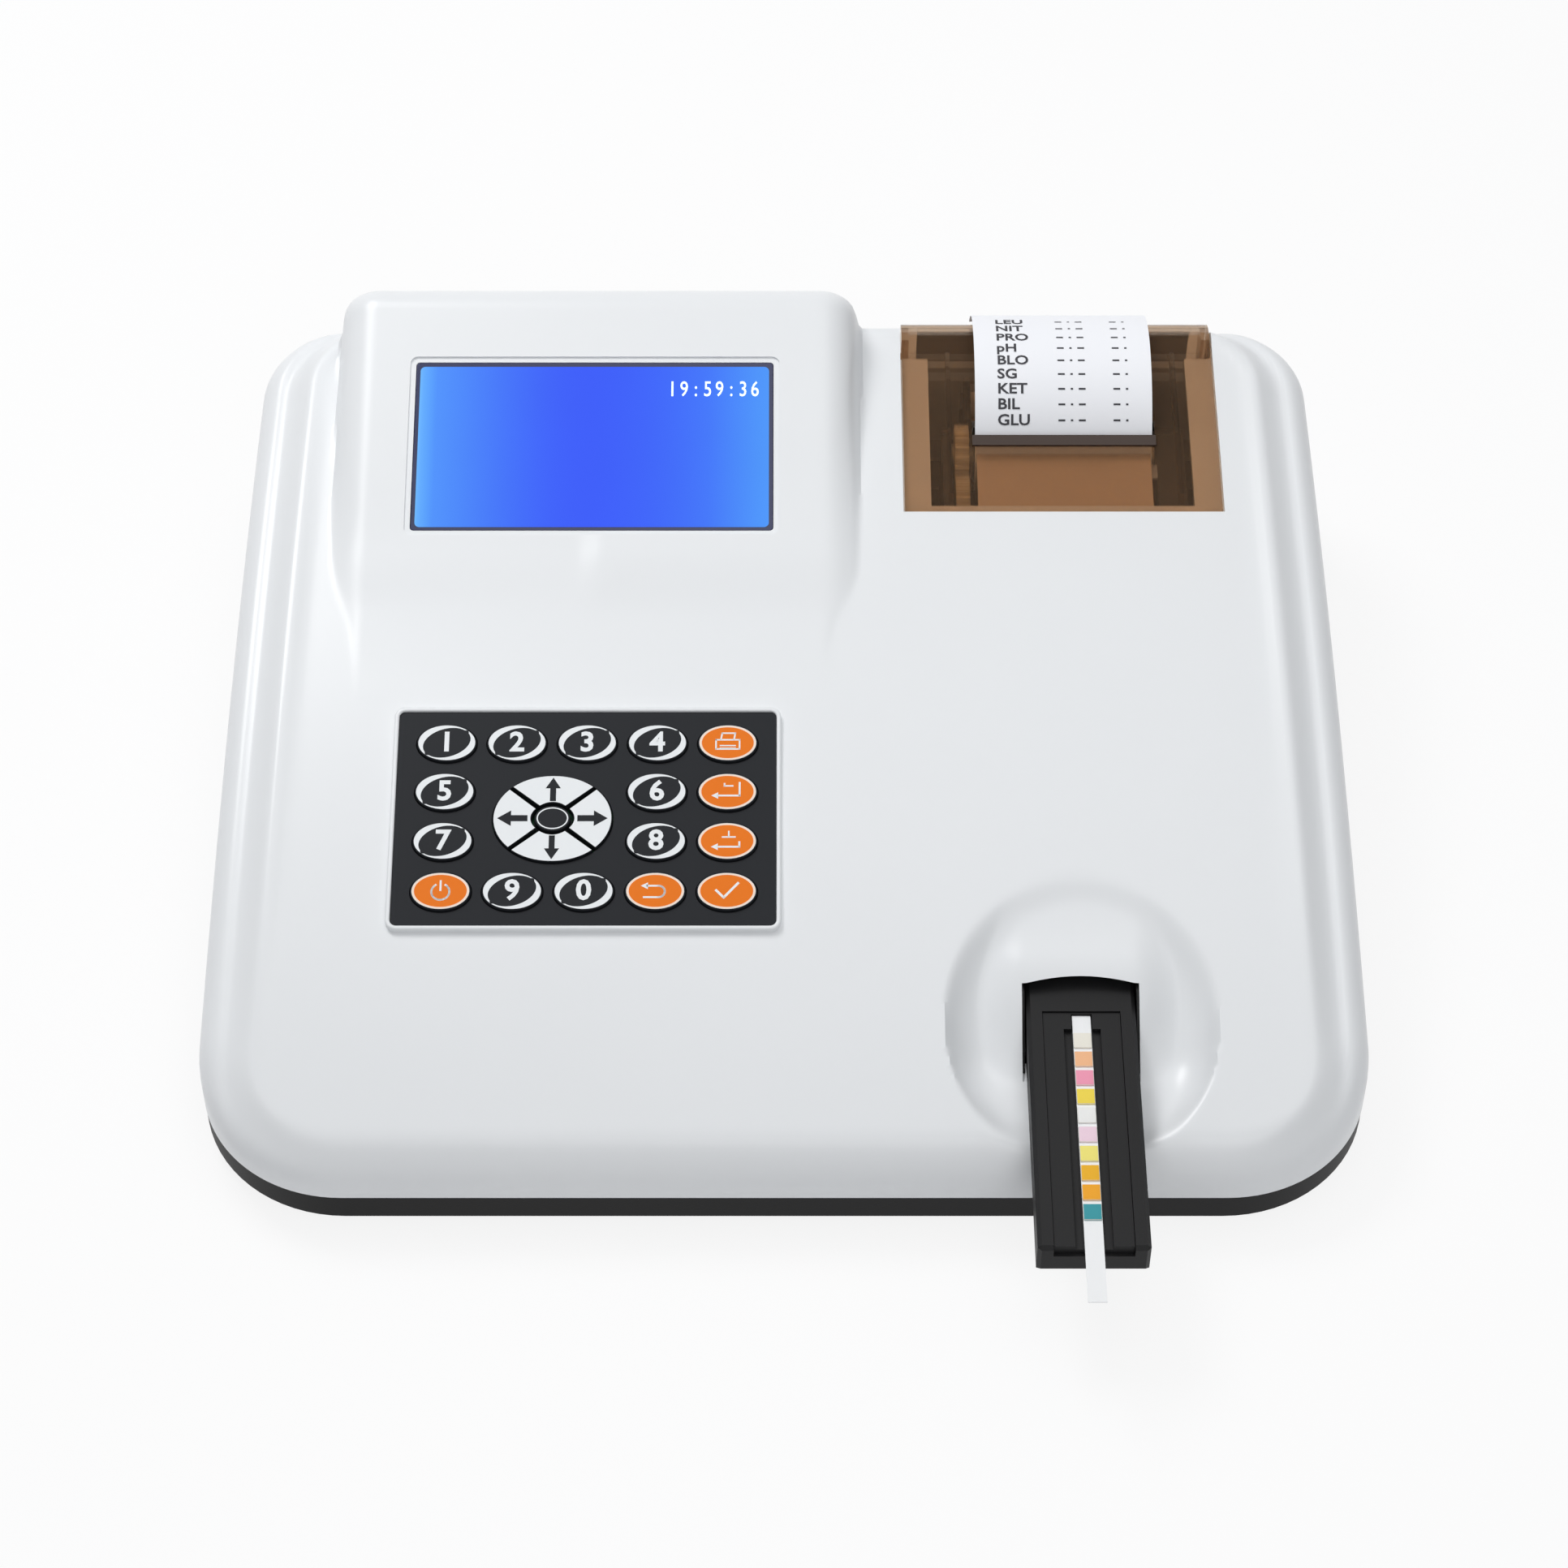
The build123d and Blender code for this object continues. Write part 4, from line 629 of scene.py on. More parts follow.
@dataclass
class Housing:
    """Upper housing: crowned top, raised step, display hump, dish, hood and doorway."""

    width: float = 349.7
    depth: float = 306.0
    taper: float = 5.0
    front_corner: float = 45.0
    rear_corner: float = 28.0
    parting: float = 14.5
    wall: float = 2.5
    shoulder: float = 12.0
    top_y: float = 10.0
    top_height: float = 31.5
    front_slope: float = 18.0
    rear_slope: float = 2.0
    step: float = 3.7
    step_run: float = 18.0
    step_half: float = 3.3
    bead: float = 1.15
    groove: float = 1.7
    step_inset: float = 14.5
    step_front: float = 6.0
    step_corner: float = 30.0
    hump_left: float = -142.0
    hump_right: float = 22.0
    hump_y: float = 180.0
    hump_height: float = 71.9
    hump_slope: float = 16.0
    hump_edge: float = 12.0
    hump_rear: float = 288.0
    hump_rear_r: float = 14.0
    hump_blend: float = 3.7
    dish_x: float = 88.4
    dish_y: float = 48.0
    dish_r: float = 41.0
    dish_front: float = 56.0
    dish_back: float = 47.0
    dish_floor: float = 28.5
    dish_flat: float = 34.0
    dish_slope: float = 25.0
    dish_edge: float = 13.0
    hood_flat: float = 15.0
    hood_side_r: float = 13.0
    hood_low: float = 33.4
    hood_top: float = 58.0
    hood_height: float = 45.6
    hood_rise: float = 8.0
    hood_rear: float = 80.0
    door_w: float = 35.0
    door_top: float = 44.6

    def __post_init__(self) -> None:
        """Work out the top's arc."""
        s0, s1 = (math.sin(math.radians(a)) for a in (self.front_slope, self.rear_slope))
        self.arc_r = (self.depth - self.top_y) / (s0 - s1)
        self.arc_y = self.top_y + self.arc_r * s0
        self.arc_z = self.top_height - self.arc_r * math.cos(math.radians(self.front_slope))

    def top(self, y: np.ndarray | float) -> np.ndarray:
        """Height of the raised top along the middle, past the front roll-over."""
        y = np.maximum(np.asarray(y, float), -20.0)
        return self.arc_z + np.sqrt(self.arc_r ** 2 - (y - self.arc_y) ** 2)

    def half_width(self, y: np.ndarray | float) -> np.ndarray:
        """Half of the width, which tapers to the rear."""
        ahead = self.width / 2 + self.taper * self.front_corner / self.depth
        return ahead - self.taper * np.asarray(y, float) / self.depth

    def side_limit(self, y: np.ndarray) -> np.ndarray:
        """Half of the outline's width, rounded corners included.

        Args:
            y: Places along Y.

        Returns:
            Reach of the outline on either side.
        """
        front = np.clip(self.front_corner - y, 0, self.front_corner)
        rear = np.clip(y - (self.depth - self.rear_corner), 0, self.rear_corner)
        cut = self.front_corner - np.sqrt(self.front_corner ** 2 - front ** 2)
        cut = cut + self.rear_corner - np.sqrt(self.rear_corner ** 2 - rear ** 2)
        return self.half_width(y) - cut

    def inset(self, x: np.ndarray, y: np.ndarray, front: float, rear: float,
              front_r: float, rear_r: float, side: float) -> np.ndarray:
        """Distance inside the outline drawn in on each side.

        Args:
            x, y: Places of the plan.
            front, rear, side: How far each edge is drawn in.
            front_r, rear_r: Radii of the drawn-in corners.

        Returns:
            Distances, below 0 outside.
        """
        half = self.half_width(y) - side - np.abs(x)
        ahead, behind = y - front, self.depth - rear - y
        corner_r = np.where(y < self.depth / 2, front_r, rear_r)
        end = np.where(y < self.depth / 2, ahead, behind)
        dx, dy = corner_r - half, corner_r - end
        outer = corner_r - np.hypot(np.maximum(dx, 0), np.maximum(dy, 0))
        return np.where((dx > 0) & (dy > 0), outer, np.minimum(half, end))

    def base_form(self, x: np.ndarray, y: np.ndarray) -> np.ndarray:
        """Crowned top with its roll-over and raised step, without hump or dish.

        Args:
            x, y: Places of the plan.

        Returns:
            Heights there.
        """
        r = self.shoulder
        edge = np.clip(r - self.inset(x, y, 0, 0, self.front_corner, self.rear_corner, 0), 0, r)
        drop = r - np.sqrt(np.maximum(r * r - edge * edge, 0))
        ahead = self.inset(x, y, self.step_front, -40, self.step_corner, 26, self.step_inset)
        behind = self.inset(x, y, -60, 7.0, 5, 26, self.step_inset)
        inner = np.minimum(ahead, behind)
        grown_in = 1 - np.exp(-np.maximum(y, 0) / self.step_run)
        rise = ramp(inner, -self.step_half, self.step_half)
        bead = self.bead * np.exp(-((inner - 4.4) / 3.0) ** 2) * ramp(y, 20, 80)
        groove = self.groove * np.exp(-((inner + 5.2) / 2.4) ** 2) * ramp(y, 4, 30)
        return self.top(y) - drop + grown_in * (bead - groove - self.step * (1 - rise))

    def hump_form(self, x: np.ndarray, y: np.ndarray) -> np.ndarray:
        """Sloped display hump before it is blended into the top.

        Args:
            x, y: Places of the plan.

        Returns:
            Heights there, far below the top outside the hump.
        """
        r, climb = self.hump_edge, math.tan(math.radians(self.hump_slope))
        plane = self.hump_height + (y - self.hump_y) * climb
        turn = np.clip((y - self.hump_rear) / self.hump_rear_r, 0, 0.999)
        crest = self.hump_height + (self.hump_rear - self.hump_y) * climb
        crest = crest + self.hump_rear_r * (np.sqrt(1 - turn ** 2) - 1)
        crest = crest + np.minimum(y - self.hump_rear, 3) * 0.12
        plane = np.where(y > self.hump_rear, np.minimum(plane, crest), plane)
        plane = soft_max(plane, self.top(y), self.hump_blend)

        def side(u: np.ndarray) -> np.ndarray:
            """Drop at a distance inside the hump's wall, which leans by 8 degrees."""
            reach = np.clip(0.869 * r - u, 0, 0.99 * r)
            arc_drop = r - np.sqrt(r * r - reach ** 2)
            return np.where(u < -0.121 * r, 0.861 * r + (-0.121 * r - u) * 7.115, arc_drop)

        walls = (side(x - self.hump_left), side(self.hump_right - x))
        return plane - np.maximum(walls[0], 0) - np.maximum(walls[1], 0)

    def dish_ring(self, x: np.ndarray, y: np.ndarray) -> np.ndarray:
        """Distance inside the dish's ring.

        Args:
            x, y: Places of the plan.

        Returns:
            Distances, below 0 outside.
        """
        reach = np.where(y < self.dish_y, self.dish_front, self.dish_back)
        out = np.hypot((x - self.dish_x) / self.dish_r, (y - self.dish_y) / reach)
        return (1 - out) * self.dish_r

    def height(self, x: np.ndarray, y: np.ndarray) -> np.ndarray:
        """Outer surface's height.

        Args:
            x, y: Places of the plan.

        Returns:
            Heights there.
        """
        deck = self.base_form(x, y)
        hump = self.hump_form(x, y)
        blend = np.where(x > (self.hump_left + self.hump_right) / 2, 9.0, 5.0)
        fade = ramp(y, self.hump_y - 6, self.hump_y + 22)
        joined = soft_max(hump, deck, 0.15 + blend * fade)
        deck = np.where((hump > deck - 8) & (y > self.hump_y - 30), joined, deck)
        ring = self.dish_ring(x, y)
        slope = math.tan(math.radians(self.dish_slope))
        floor = soft_max(np.full_like(y, self.dish_floor),
                         self.dish_floor + (y - self.dish_flat) * slope, 3.5)
        r = self.dish_edge
        edge = np.clip(r - ring, 0, r)
        bowl = floor + (r - np.sqrt(np.maximum(r * r - edge * edge, 0)))
        bowl = bowl + np.where(ring < 0, -ring * 6, 0)
        deck = np.where(ring > -14, soft_min(deck, bowl, 2.6), deck)
        return self.with_hood(x, y, deck, ring)

    def with_hood(self, x: np.ndarray, y: np.ndarray, deck: np.ndarray,
                  ring: np.ndarray) -> np.ndarray:
        """Add the rounded hood over the doorway.

        Args:
            x, y: Places of the plan.
            deck: Heights without the hood.
            ring: Distances inside the dish's ring.

        Returns:
            Heights with the hood.
        """
        lean = (self.hood_height - self.dish_floor) / (self.hood_top - self.hood_low)
        face = self.dish_floor + (y - self.hood_low) * lean
        roof = self.hood_height + (y - self.hood_top) * math.tan(math.radians(self.hood_rise))
        out = np.maximum(np.abs(x - self.dish_x) - self.hood_flat, 0)
        body = soft_min(face, roof, 5.0) - out ** 2 / (2 * self.hood_side_r)
        near = (ring > -22) & (y > self.hood_low - 8) & (y < self.hood_rear + 24)
        sunk = deck - 1.2 * ramp(ring, 2, 12) * ramp(y, 26, 40)
        return np.where(near, soft_max(sunk, soft_min(body, deck + 6, 3.0), 5.0), deck)

    def columns(self) -> tuple[np.ndarray, np.ndarray]:
        """Plan places of the skin's grid: one row of X for each Y."""
        def spread(keys: Sequence[float], counts: Sequence[int]) -> np.ndarray:
            """Values between keys."""
            parts = [np.linspace(a, b, n, endpoint=False) for a, b, n in
                     zip(keys[:-1], keys[1:], counts)]
            return np.append(np.concatenate(parts), keys[-1])

        first = 12 * (1 - np.sin(np.radians(90 * (1 - np.arange(12) / 12))))
        ys = np.concatenate([first, spread([12, 92, 175, 286, 306], [60, 31, 66, 20])])
        ys[-20:] = 286 + 20 * np.sin(np.radians(90 * np.arange(1, 21) / 20))
        counts = [12, 9, 5, 26, 35, 34, 3, 72, 8, 9, 12]
        rows = []
        for y in ys:
            limit = float(self.side_limit(np.array([y]))[0])
            part = float(ramp(y, 120, 170))
            ahead = [-limit + 12, -limit + 19, -limit + 26]
            over = max(limit - 148, 1.0)
            behind = [-limit + min(12, over * 0.6), -limit + min(18, over * 0.85), -148.0]
            mid = [a * (1 - part) + b * part for a, b in zip(ahead, behind)]
            keys = [-limit, *mid, max(-124.0, -limit + 50), 0.0, 38.0, 44.0,
                    min(133.0, limit - 26), limit - 20, limit - 12, limit]
            for k in range(1, len(keys)):
                keys[k] = max(keys[k], keys[k - 1] + 0.1)
            keys = [key - max(0.0, keys[-1] - limit) * (i / (len(keys) - 1))
                    for i, key in enumerate(keys)]
            line = []
            for k, count in enumerate(counts):
                share = np.arange(count) / count
                if k == 0:
                    share = 1 - np.sin(np.radians(90 * (1 - share)))
                if k == len(counts) - 1:
                    share = np.sin(np.radians(90 * share))
                line.append(keys[k] + (keys[k + 1] - keys[k]) * share)
            rows.append(np.append(np.concatenate(line), keys[-1]))
        xs = np.array(rows)
        return xs, np.repeat(ys[:, None], xs.shape[1], axis=1)

    def lining(self, x: np.ndarray, y: np.ndarray, z: np.ndarray) -> np.ndarray:
        """Inner face's points under some points of the outer face.

        Args:
            x, y, z: Places of the plan and their heights.

        Returns:
            Points, with X, Y and Z along the last axis.
        """
        limit = self.side_limit(y)
        x = x * (limit - self.wall) / np.maximum(limit, 1)
        y = self.wall + y * (self.depth - 2 * self.wall) / self.depth
        z = np.maximum(np.minimum(z, self.height(x, y)) - 2.8, self.parting + 0.3)
        return np.stack([x, y, z], axis=-1)

    def skin(self) -> bpy.types.Object:
        """Closed shell mesh under the heights, open downwards at the parting.

        Returns:
            Linked object, without its finish.
        """
        xs, ys = self.columns()
        zs = np.maximum(self.height(xs, ys), self.parting + 0.6)
        rows, cols = xs.shape
        picks = np.ix_(*(sorted({*range(0, count, 3), count - 1}) for count in (rows, cols)))
        inner = self.lining(xs[picks], ys[picks], zs[picks])
        n, m = inner.shape[:2]
        start = rows * cols
        points = np.concatenate([np.stack([xs, ys, zs], axis=-1).reshape(-1, 3),
                                 inner.reshape(-1, 3)])
        faces = grid_faces(rows, cols, 0, False) + grid_faces(n, m, start, True)
        feet = []
        rims = grid_border(rows, cols, 0), grid_border(n, m, start)
        for border, flip in zip(rims, (False, True)):
            low = points[border].copy()
            low[:, 2] = self.parting
            foot = list(range(len(points), len(points) + len(border)))
            points = np.concatenate([points, low])
            for a, b, c, d in zip(border, foot, foot[1:] + foot[:1], border[1:] + border[:1]):
                faces.append([d, c, b, a] if flip else [a, b, c, d])
            feet.append(foot)
        for side in zip(grid_sides(rows, cols, feet[0]), grid_sides(n, m, feet[1])):
            faces.extend(bridge(*side))
        points[:, 1] += FRONT
        mesh = bpy.data.meshes.new("upper_skin")
        mesh.from_pydata((points * MM).tolist(), [], faces)
        mesh.update()
        piece = bpy.data.objects.new("upper_skin", mesh)
        bpy.context.scene.collection.objects.link(piece)
        return piece


def bridge(outer: Sequence[int], inner: Sequence[int]) -> list[list[int]]:
    """Triangles between two chains of points that run the same way, facing down.

    Args:
        outer, inner: Numbers of the points of each chain.

    Returns:
        Corners of each triangle.
    """
    i = j = 0
    made = []
    while i < len(outer) - 1 or j < len(inner) - 1:
        step_out = (i + 1) / (len(outer) - 1) if i < len(outer) - 1 else 2.0
        step_in = (j + 1) / (len(inner) - 1) if j < len(inner) - 1 else 2.0
        if step_out <= step_in:
            made.append([outer[i + 1], outer[i], inner[j]])
            i += 1
        else:
            made.append([outer[i], inner[j], inner[j + 1]])
            j += 1
    return made


def carve(piece: bpy.types.Object, name: str, outline: Sequence[Point2], low: float,
          high: float, place: Placer) -> None:
    """Cut a closed block out of a piece.

    Args:
        piece: Object to cut.
        name: Name of the cut, for the log.
        outline: Corner points of the block.
        low, high: Its two ends.
        place: Map to the row frame.
    """
    count = len(outline)
    points = [place(x, y, end) for end in (low, high) for x, y in outline]
    faces = [[i, (i + 1) % count, count + (i + 1) % count, count + i] for i in range(count)]
    faces += [list(range(count))[::-1], [count + i for i in range(count)]]
    mesh = bpy.data.meshes.new(name)
    mesh.from_pydata([tuple(p) for p in points], [], faces)
    work = bmesh.new()
    work.from_mesh(mesh)
    bmesh.ops.recalc_face_normals(work, faces=work.faces[:])
    work.to_mesh(mesh)
    work.free()
    block = bpy.data.objects.new(name, mesh)
    bpy.context.scene.collection.objects.link(block)
    tool = piece.modifiers.new("cut", "BOOLEAN")
    tool.operation, tool.solver, tool.object = "DIFFERENCE", "MANIFOLD", block
    graph = bpy.context.evaluated_depsgraph_get()
    made = bpy.data.meshes.new_from_object(piece.evaluated_get(graph))
    piece.modifiers.remove(tool)
    if len(made.polygons) < LEAST_FACES:
        log.warning("cut %s gave nothing", name)
    else:
        piece.data = made
    log.info("cut %s: %d faces", name, len(piece.data.polygons))
    bpy.data.objects.remove(block)


def upright(x: float, z: float, y: float) -> Vector:
    """Row-frame point of an upright outline's X and Z, where y counts down to the rear."""
    return world(x, -y, z)


def across(y: float, z: float, x: float) -> Vector:
    """Row-frame point of a section's Y and Z at some X."""
    return world(x, y, z)


@dataclass
class UpperShell:
    """Upper housing skin with its openings, keypad rim and printer bay."""

    form: Housing
    lens_at: Point2 = (-60.75, 235.0)
    lens_shift: float = 3.0
    lens_size: Point2 = (114.5, 60.6)
    lens_margin: float = 2.0
    lens_recess: float = 0.6
    pad_at: Point3 = (-60.2, 108.5, 0.6)
    pad_slope: float = 12.55
    panel: Point2 = (115.6, 72.6)
    rim_w: float = 1.5
    rim_h: float = 0.7
    bay_x: Point2 = (38.0, 140.0)
    well_x: Point2 = (47.0, 131.0)
    bay_y: float = 219.5
    well_y: float = 224.3
    bay_drop: float = 3.2
    rear_cut: float = 61.25
    hinge_y: float = 298.0
    hinge_drop: float = 15.4
    sweep_r: float = 11.0
    door_crown: float = 1.0
    rear_holes: tuple[tuple[float, ...], ...] = (
        (-130, 34, 15, 21), (-92, 32, 12, 11), (-50, 32, 31, 12.5))

    def pad_place(self) -> Placer:
        """Placer of the keypad plate."""
        x, y, proud = self.pad_at
        return tilted(x, y, float(self.form.top(y)) + proud, self.pad_slope)

    def lens_place(self) -> Placer:
        """Placer of the display window."""
        x, y = self.lens_at
        y += self.lens_shift
        z = self.form.hump_height + (y - self.form.hump_y) * math.tan(
            math.radians(self.form.hump_slope))
        return tilted(x, y, z, self.form.hump_slope)

    def build(self) -> None:
        """Make the skin, cut it and dress it."""
        skin = self.form.skin()
        lens, pad = self.lens_place(), self.pad_place()
        w, l = self.lens_size
        m = 2 * self.lens_margin
        carve(skin, "recess", box_outline(0, 0, w + m, l + m, 2.5), -self.lens_recess, 9, lens)
        carve(skin, "window", box_outline(0, 0, w + 0.3, l + 0.3, 1.2), -12, 9, lens)
        w, l = self.panel
        carve(skin, "pad_seat", box_outline(0, 0, w + 0.3, l + 0.3, 2), -2, 9, pad)
        carve(skin, "pad_well", box_outline(0, 0, w - 6, l - 6, 2), -14, 9, pad)
        self.cut_bay(skin)
        self.cut_door(skin)
        for hole in self.rear_holes:
            carve(skin, "rear_hole", box_outline(*hole), -312, -290, upright)
        skin.data.materials.clear()
        skin.data.materials.append(SHELL.make())
        smooth(skin, 38)
        dress(skin, "housing", ["top_shell"])
        self.rim(pad)
        self.bay_lining()
        # Black sheets inside the doorway paint its shade.
        self.door_painted_shade()

    def profile(self, y0: float, y1: float, off: float, count: int = 24) -> list[Point2]:
        """Points of the top curve moved down by off, from y0 to y1."""
        return [(y, float(self.form.top(min(y, self.form.depth + 3))) - off)
                for y in np.linspace(y0, y1, count)]

    def cut_bay(self, skin: bpy.types.Object) -> None:
        """Cut the lid's pocket, the well under it and the way out at the rear.

        Args:
            skin: Upper skin.
        """
        def block(name: str, outline: Sequence[Point2], span: Point2) -> None:
            """Cut one section out along X."""
            carve(skin, name, outline, *span, across)

        rear, high = 309, 112
        low = self.profile(self.bay_y, rear, self.bay_drop)
        block("pocket", low + [(rear, high), (self.bay_y, high)], self.bay_x)
        well = ((self.well_y, 20), (302.9, 20), (302.9, high), (self.well_y, high))
        block("well", well, self.well_x)
        turn_z = float(self.form.top(self.hinge_y)) - self.hinge_drop
        block("lid_sweep", oval(self.hinge_y, turn_z, 2 * self.sweep_r, 2 * self.sweep_r),
              self.bay_x)
        block("rear_way", ((287, self.rear_cut), (rear, self.rear_cut), (rear, high), (287, high)),
              self.bay_x)

    def cut_door(self, skin: bpy.types.Object) -> None:
        """Cut the arched doorway through the hood's face.

        Args:
            skin: Upper skin.
        """
        f = self.form
        half = f.door_w / 2
        arch = [(f.dish_x - half, f.dish_floor + 0.03), (f.dish_x + half, f.dish_floor + 0.03)]
        arch += [(f.dish_x + half * u, f.door_top - self.door_crown * u * u)
                 for u in (1 - 2 * k / 12 for k in range(13))]
        carve(skin, "doorway", arch, -62, -31.5, upright)

    def rim(self, place: Placer) -> None:
        """Raised white rim round the keypad.

        Args:
            place: Placer of the keypad plate.
        """
        w, l = self.panel
        ring = Mesher("keypad_rim")
        inner, mid_in, mid_out, outer = (box_outline(0, 0, w + more, l + more, r) for more, r in (
            (0.3, 2.0), (0.9, 2.3), (2 * self.rim_w - 0.6, 3.0), (2 * self.rim_w, 3.2)))
        edge = self.rim_h - 0.3
        rings = [(outer, -2.6), (outer, edge), (mid_out, self.rim_h), (mid_in, self.rim_h),
                 (inner, edge), (inner, -2.6)]
        n, count = len(inner), len(rings)
        faces = [[r * n + i, r * n + (i + 1) % n, (r + 1) % count * n + (i + 1) % n,
                  (r + 1) % count * n + i] for r in range(count) for i in range(n)]
        ring.add([place(x, y, h) for outline, h in rings for x, y in outline], faces, SHELL)
        ring.make("housing", ["top_shell"], 50)

    def bay_lining(self) -> None:
        """Ledge and side walls of the printer bay, and the paper's guide."""
        def bar(x0: float, x1: float, y0: float, y1: float, top: float, low: float) -> None:
            """White bar that follows the top curve."""
            outline = self.profile(y0, y1, top, 16) + self.profile(y0, y1, low, 16)[::-1]
            lining.slab(outline, x0, x1, SHELL)

        lining = Mesher("bay_lining")
        (a, b), (c, d) = self.bay_x, self.well_x
        drop, low = self.bay_drop, self.bay_drop + 2.5
        bar(a - 2.5, b + 2.5, self.bay_y - 2.5, self.well_y, drop, low)
        bar(a - 2.5, c, self.well_y, 286, drop, low)
        bar(d, b + 2.5, self.well_y, 286, drop, low)
        bar(a - 2.5, a, 286, 299, 5.0, 20.0)
        bar(b, b + 2.5, 286, 299, 5.0, 20.0)
        lining.make("housing", ["top_shell"], 40)
        guide = Mesher("paper_guide")
        outline = self.profile(224.8, 246, 4.0, 12) + self.profile(224.8, 246, 4.6, 12)[::-1]
        guide.slab(outline, 62.0, 118.0, GUIDE)
        guide.make("housing", angle=40)

    def door_painted_shade(self) -> None:
        """Black cheeks and back of the doorway, clear of the tray's path: dark sheets that paint
        the shade inside the doorway.
        """
        f = self.form
        # Painted shade: black plates stand in for the shade that fills the doorway's interior.
        lining = Mesher("door_painted_shade")
        lean = (f.hood_height - f.dish_floor) / (f.hood_top - f.hood_low)
        low = f.dish_floor + 0.2
        for side in (-1, 1):
            ends = sorted(f.dish_x + side * (f.door_w / 2 + reach) for reach in (-0.75, 0.3))
            ys = [float(y) for y in np.linspace(f.hood_low + 1.5, f.hood_top + 8, 12)]
            tops = [min(f.dish_floor + (y - f.hood_low) * lean - 1.4, f.door_top - 2.6) for y in ys]
            outline = [(y, max(z, low + 0.2)) for y, z in zip(ys, tops)]
            lining.slab(outline + [(ys[-1], low), (ys[0], low)], *ends, TRAY)
        back = box_outline(f.dish_x, 42.4, f.door_w + 2, 5.0)
        lining.prism(back, -68.5, -67.5, upright, TRAY)
        lining.make("housing", angle=40)


# --- display ------------------------------------------------------------------------------
@dataclass
class Display:
    """Backlit blue screen under its window, with a clock at the right."""

    shell: UpperShell
    thick: float = 1.9
    border: float = 2.6
    glow_reach: float = 57.3
    glow_stops: tuple[tuple[float, tuple[int, int, int]], ...] = (
        (0.0, (128, 205, 255)), (0.02, (95, 175, 255)), (0.06, (75, 150, 252)),
        (0.32, (52, 92, 250)), (0.55, (50, 84, 250)), (0.82, (58, 112, 251)),
        (1.0, (78, 162, 252)))

    def glass(self) -> bpy.types.Material:
        """Blue backlit finish that is paler towards the sides.

        Returns:
            Material of the lit field.
        """
        made = bpy.data.materials.new("lcd_blue")
        made.use_nodes = True
        tree = made.node_tree
        where = add_node(tree, "ShaderNodeTexCoord").outputs["Object"]
        split = add_node(tree, "ShaderNodeSeparateXYZ", {0: where})
        middle = self.shell.lens_at[0]
        span = add_node(tree, "ShaderNodeMapRange", {
            "Value": split.outputs["X"], "From Min": (middle - self.glow_reach) * MM,
            "From Max": (middle + self.glow_reach) * MM})
        glow = add_node(tree, "ShaderNodeValToRGB", {"Fac": span.outputs["Result"]})
        band = glow.color_ramp
        band.interpolation = "B_SPLINE"
        while len(band.elements) < len(self.glow_stops):
            band.elements.new(0.5)
        for element, (at, tone) in zip(band.elements, self.glow_stops):
            element.position, element.color = at, rgb(*tone)
        drift = add_node(tree, "ShaderNodeTexNoise", {"Vector": where, "Scale": 26.0})
        mix = add_node(tree, "ShaderNodeMix", {
            0: 0.08, 6: glow.outputs["Color"], 7: drift.outputs["Fac"]},
            data_type="RGBA", blend_type="MULTIPLY")
        feed(tree, tree.nodes["Principled BSDF"], {
            "Emission Color": mix.outputs[2], "Base Color": rgb(14, 24, 70),
            "Emission Strength": 0.95, "Roughness": 0.3, "Specular IOR Level": 0.1})
        return made

    def build(self) -> None:
        """Window plate with a dark border, the lit field and the clock."""
        place = self.shell.lens_place()
        w, l = self.shell.lens_size
        top = -self.shell.lens_recess
        window = Mesher("display_window")
        window.prism(box_outline(0, 0, w, l, 1.0), top - self.thick, top, place, NAVY,
                     round_by=0.25)
        window.make("housing", ["lcd_lens"], slot="window_clear")
        field_ = Mesher("display_field")
        field_.flat(box_outline(0, -0.2, w - self.border, l - self.border, 1.6), top + 0.05, place,
                    PIXEL)
        made = field_.make("housing", ["lcd_lens"], slot="display_blue")
        made.data.materials[0] = self.glass()
        clock = Mesher("display_clock")
        for k, sign in enumerate("19:59:36"):
            clock.lettering(sign, 7.8, 38.2 + (k - 3.5) * 3.78, 20.4, top + 0.08, place, PIXEL,
                            0.05, 0.72)
        clock.make("housing", ["lcd_lens"], slot="display_blue")


# --- keypad -------------------------------------------------------------------------------


class Icon(Enum):
    """Signs on the orange keys.

    Each has its strokes, as width, whether it is closed and path, and the tips of its
    arrow heads, which all point left.
    """

    PRINT = ((0.5, True, ((-3.6, 1.0), (3.6, 1.0), (3.6, -2.2), (-3.6, -2.2))),
             (0.5, False, ((-2.1, 1.1), (-1.7, 3.3), (2.3, 3.3), (1.9, 1.1))),
             (0.4, False, ((-2.3, -1.0), (2.3, -1.0))),
             (0.4, False, ((-2.3, -1.9), (2.3, -1.9)))), ()
    ENTER = ((0.6, False, ((3.7, 3.0), (3.7, -1.4), (-2.8, -1.4))),
             (0.5, False, ((-0.9, 2.7), (-0.9, 1.9), (1.6, 1.9)))), ((-3.4, -1.4),)
    FEED = ((0.6, False, ((3.7, -0.4), (3.7, -2.0), (-2.8, -2.0))),
            (0.5, False, ((0.5, 3.2), (0.5, 1.6))),
            (0.5, False, ((-1.4, 1.3), (2.4, 1.3)))), ((-3.4, -2.0),)
    POWER = ((0.6, False, arc(0, -0.3, 2.7, 122, 418, 26)),
             (0.6, False, ((0, 3.3), (0, 0.2)))), ()
    BACK = ((0.6, False, arc(1.0, -0.2, 1.9, -90, 90, 12)),
            (0.6, False, ((1.0, 1.7), (-2.4, 1.7))),
            (0.6, False, ((1.0, -2.1), (-3.4, -2.1)))), ((-2.8, 1.7),)
    CONFIRM = ((0.75, False, ((-3.2, 0.2), (-0.9, -2.2), (3.4, 2.6))),), ()


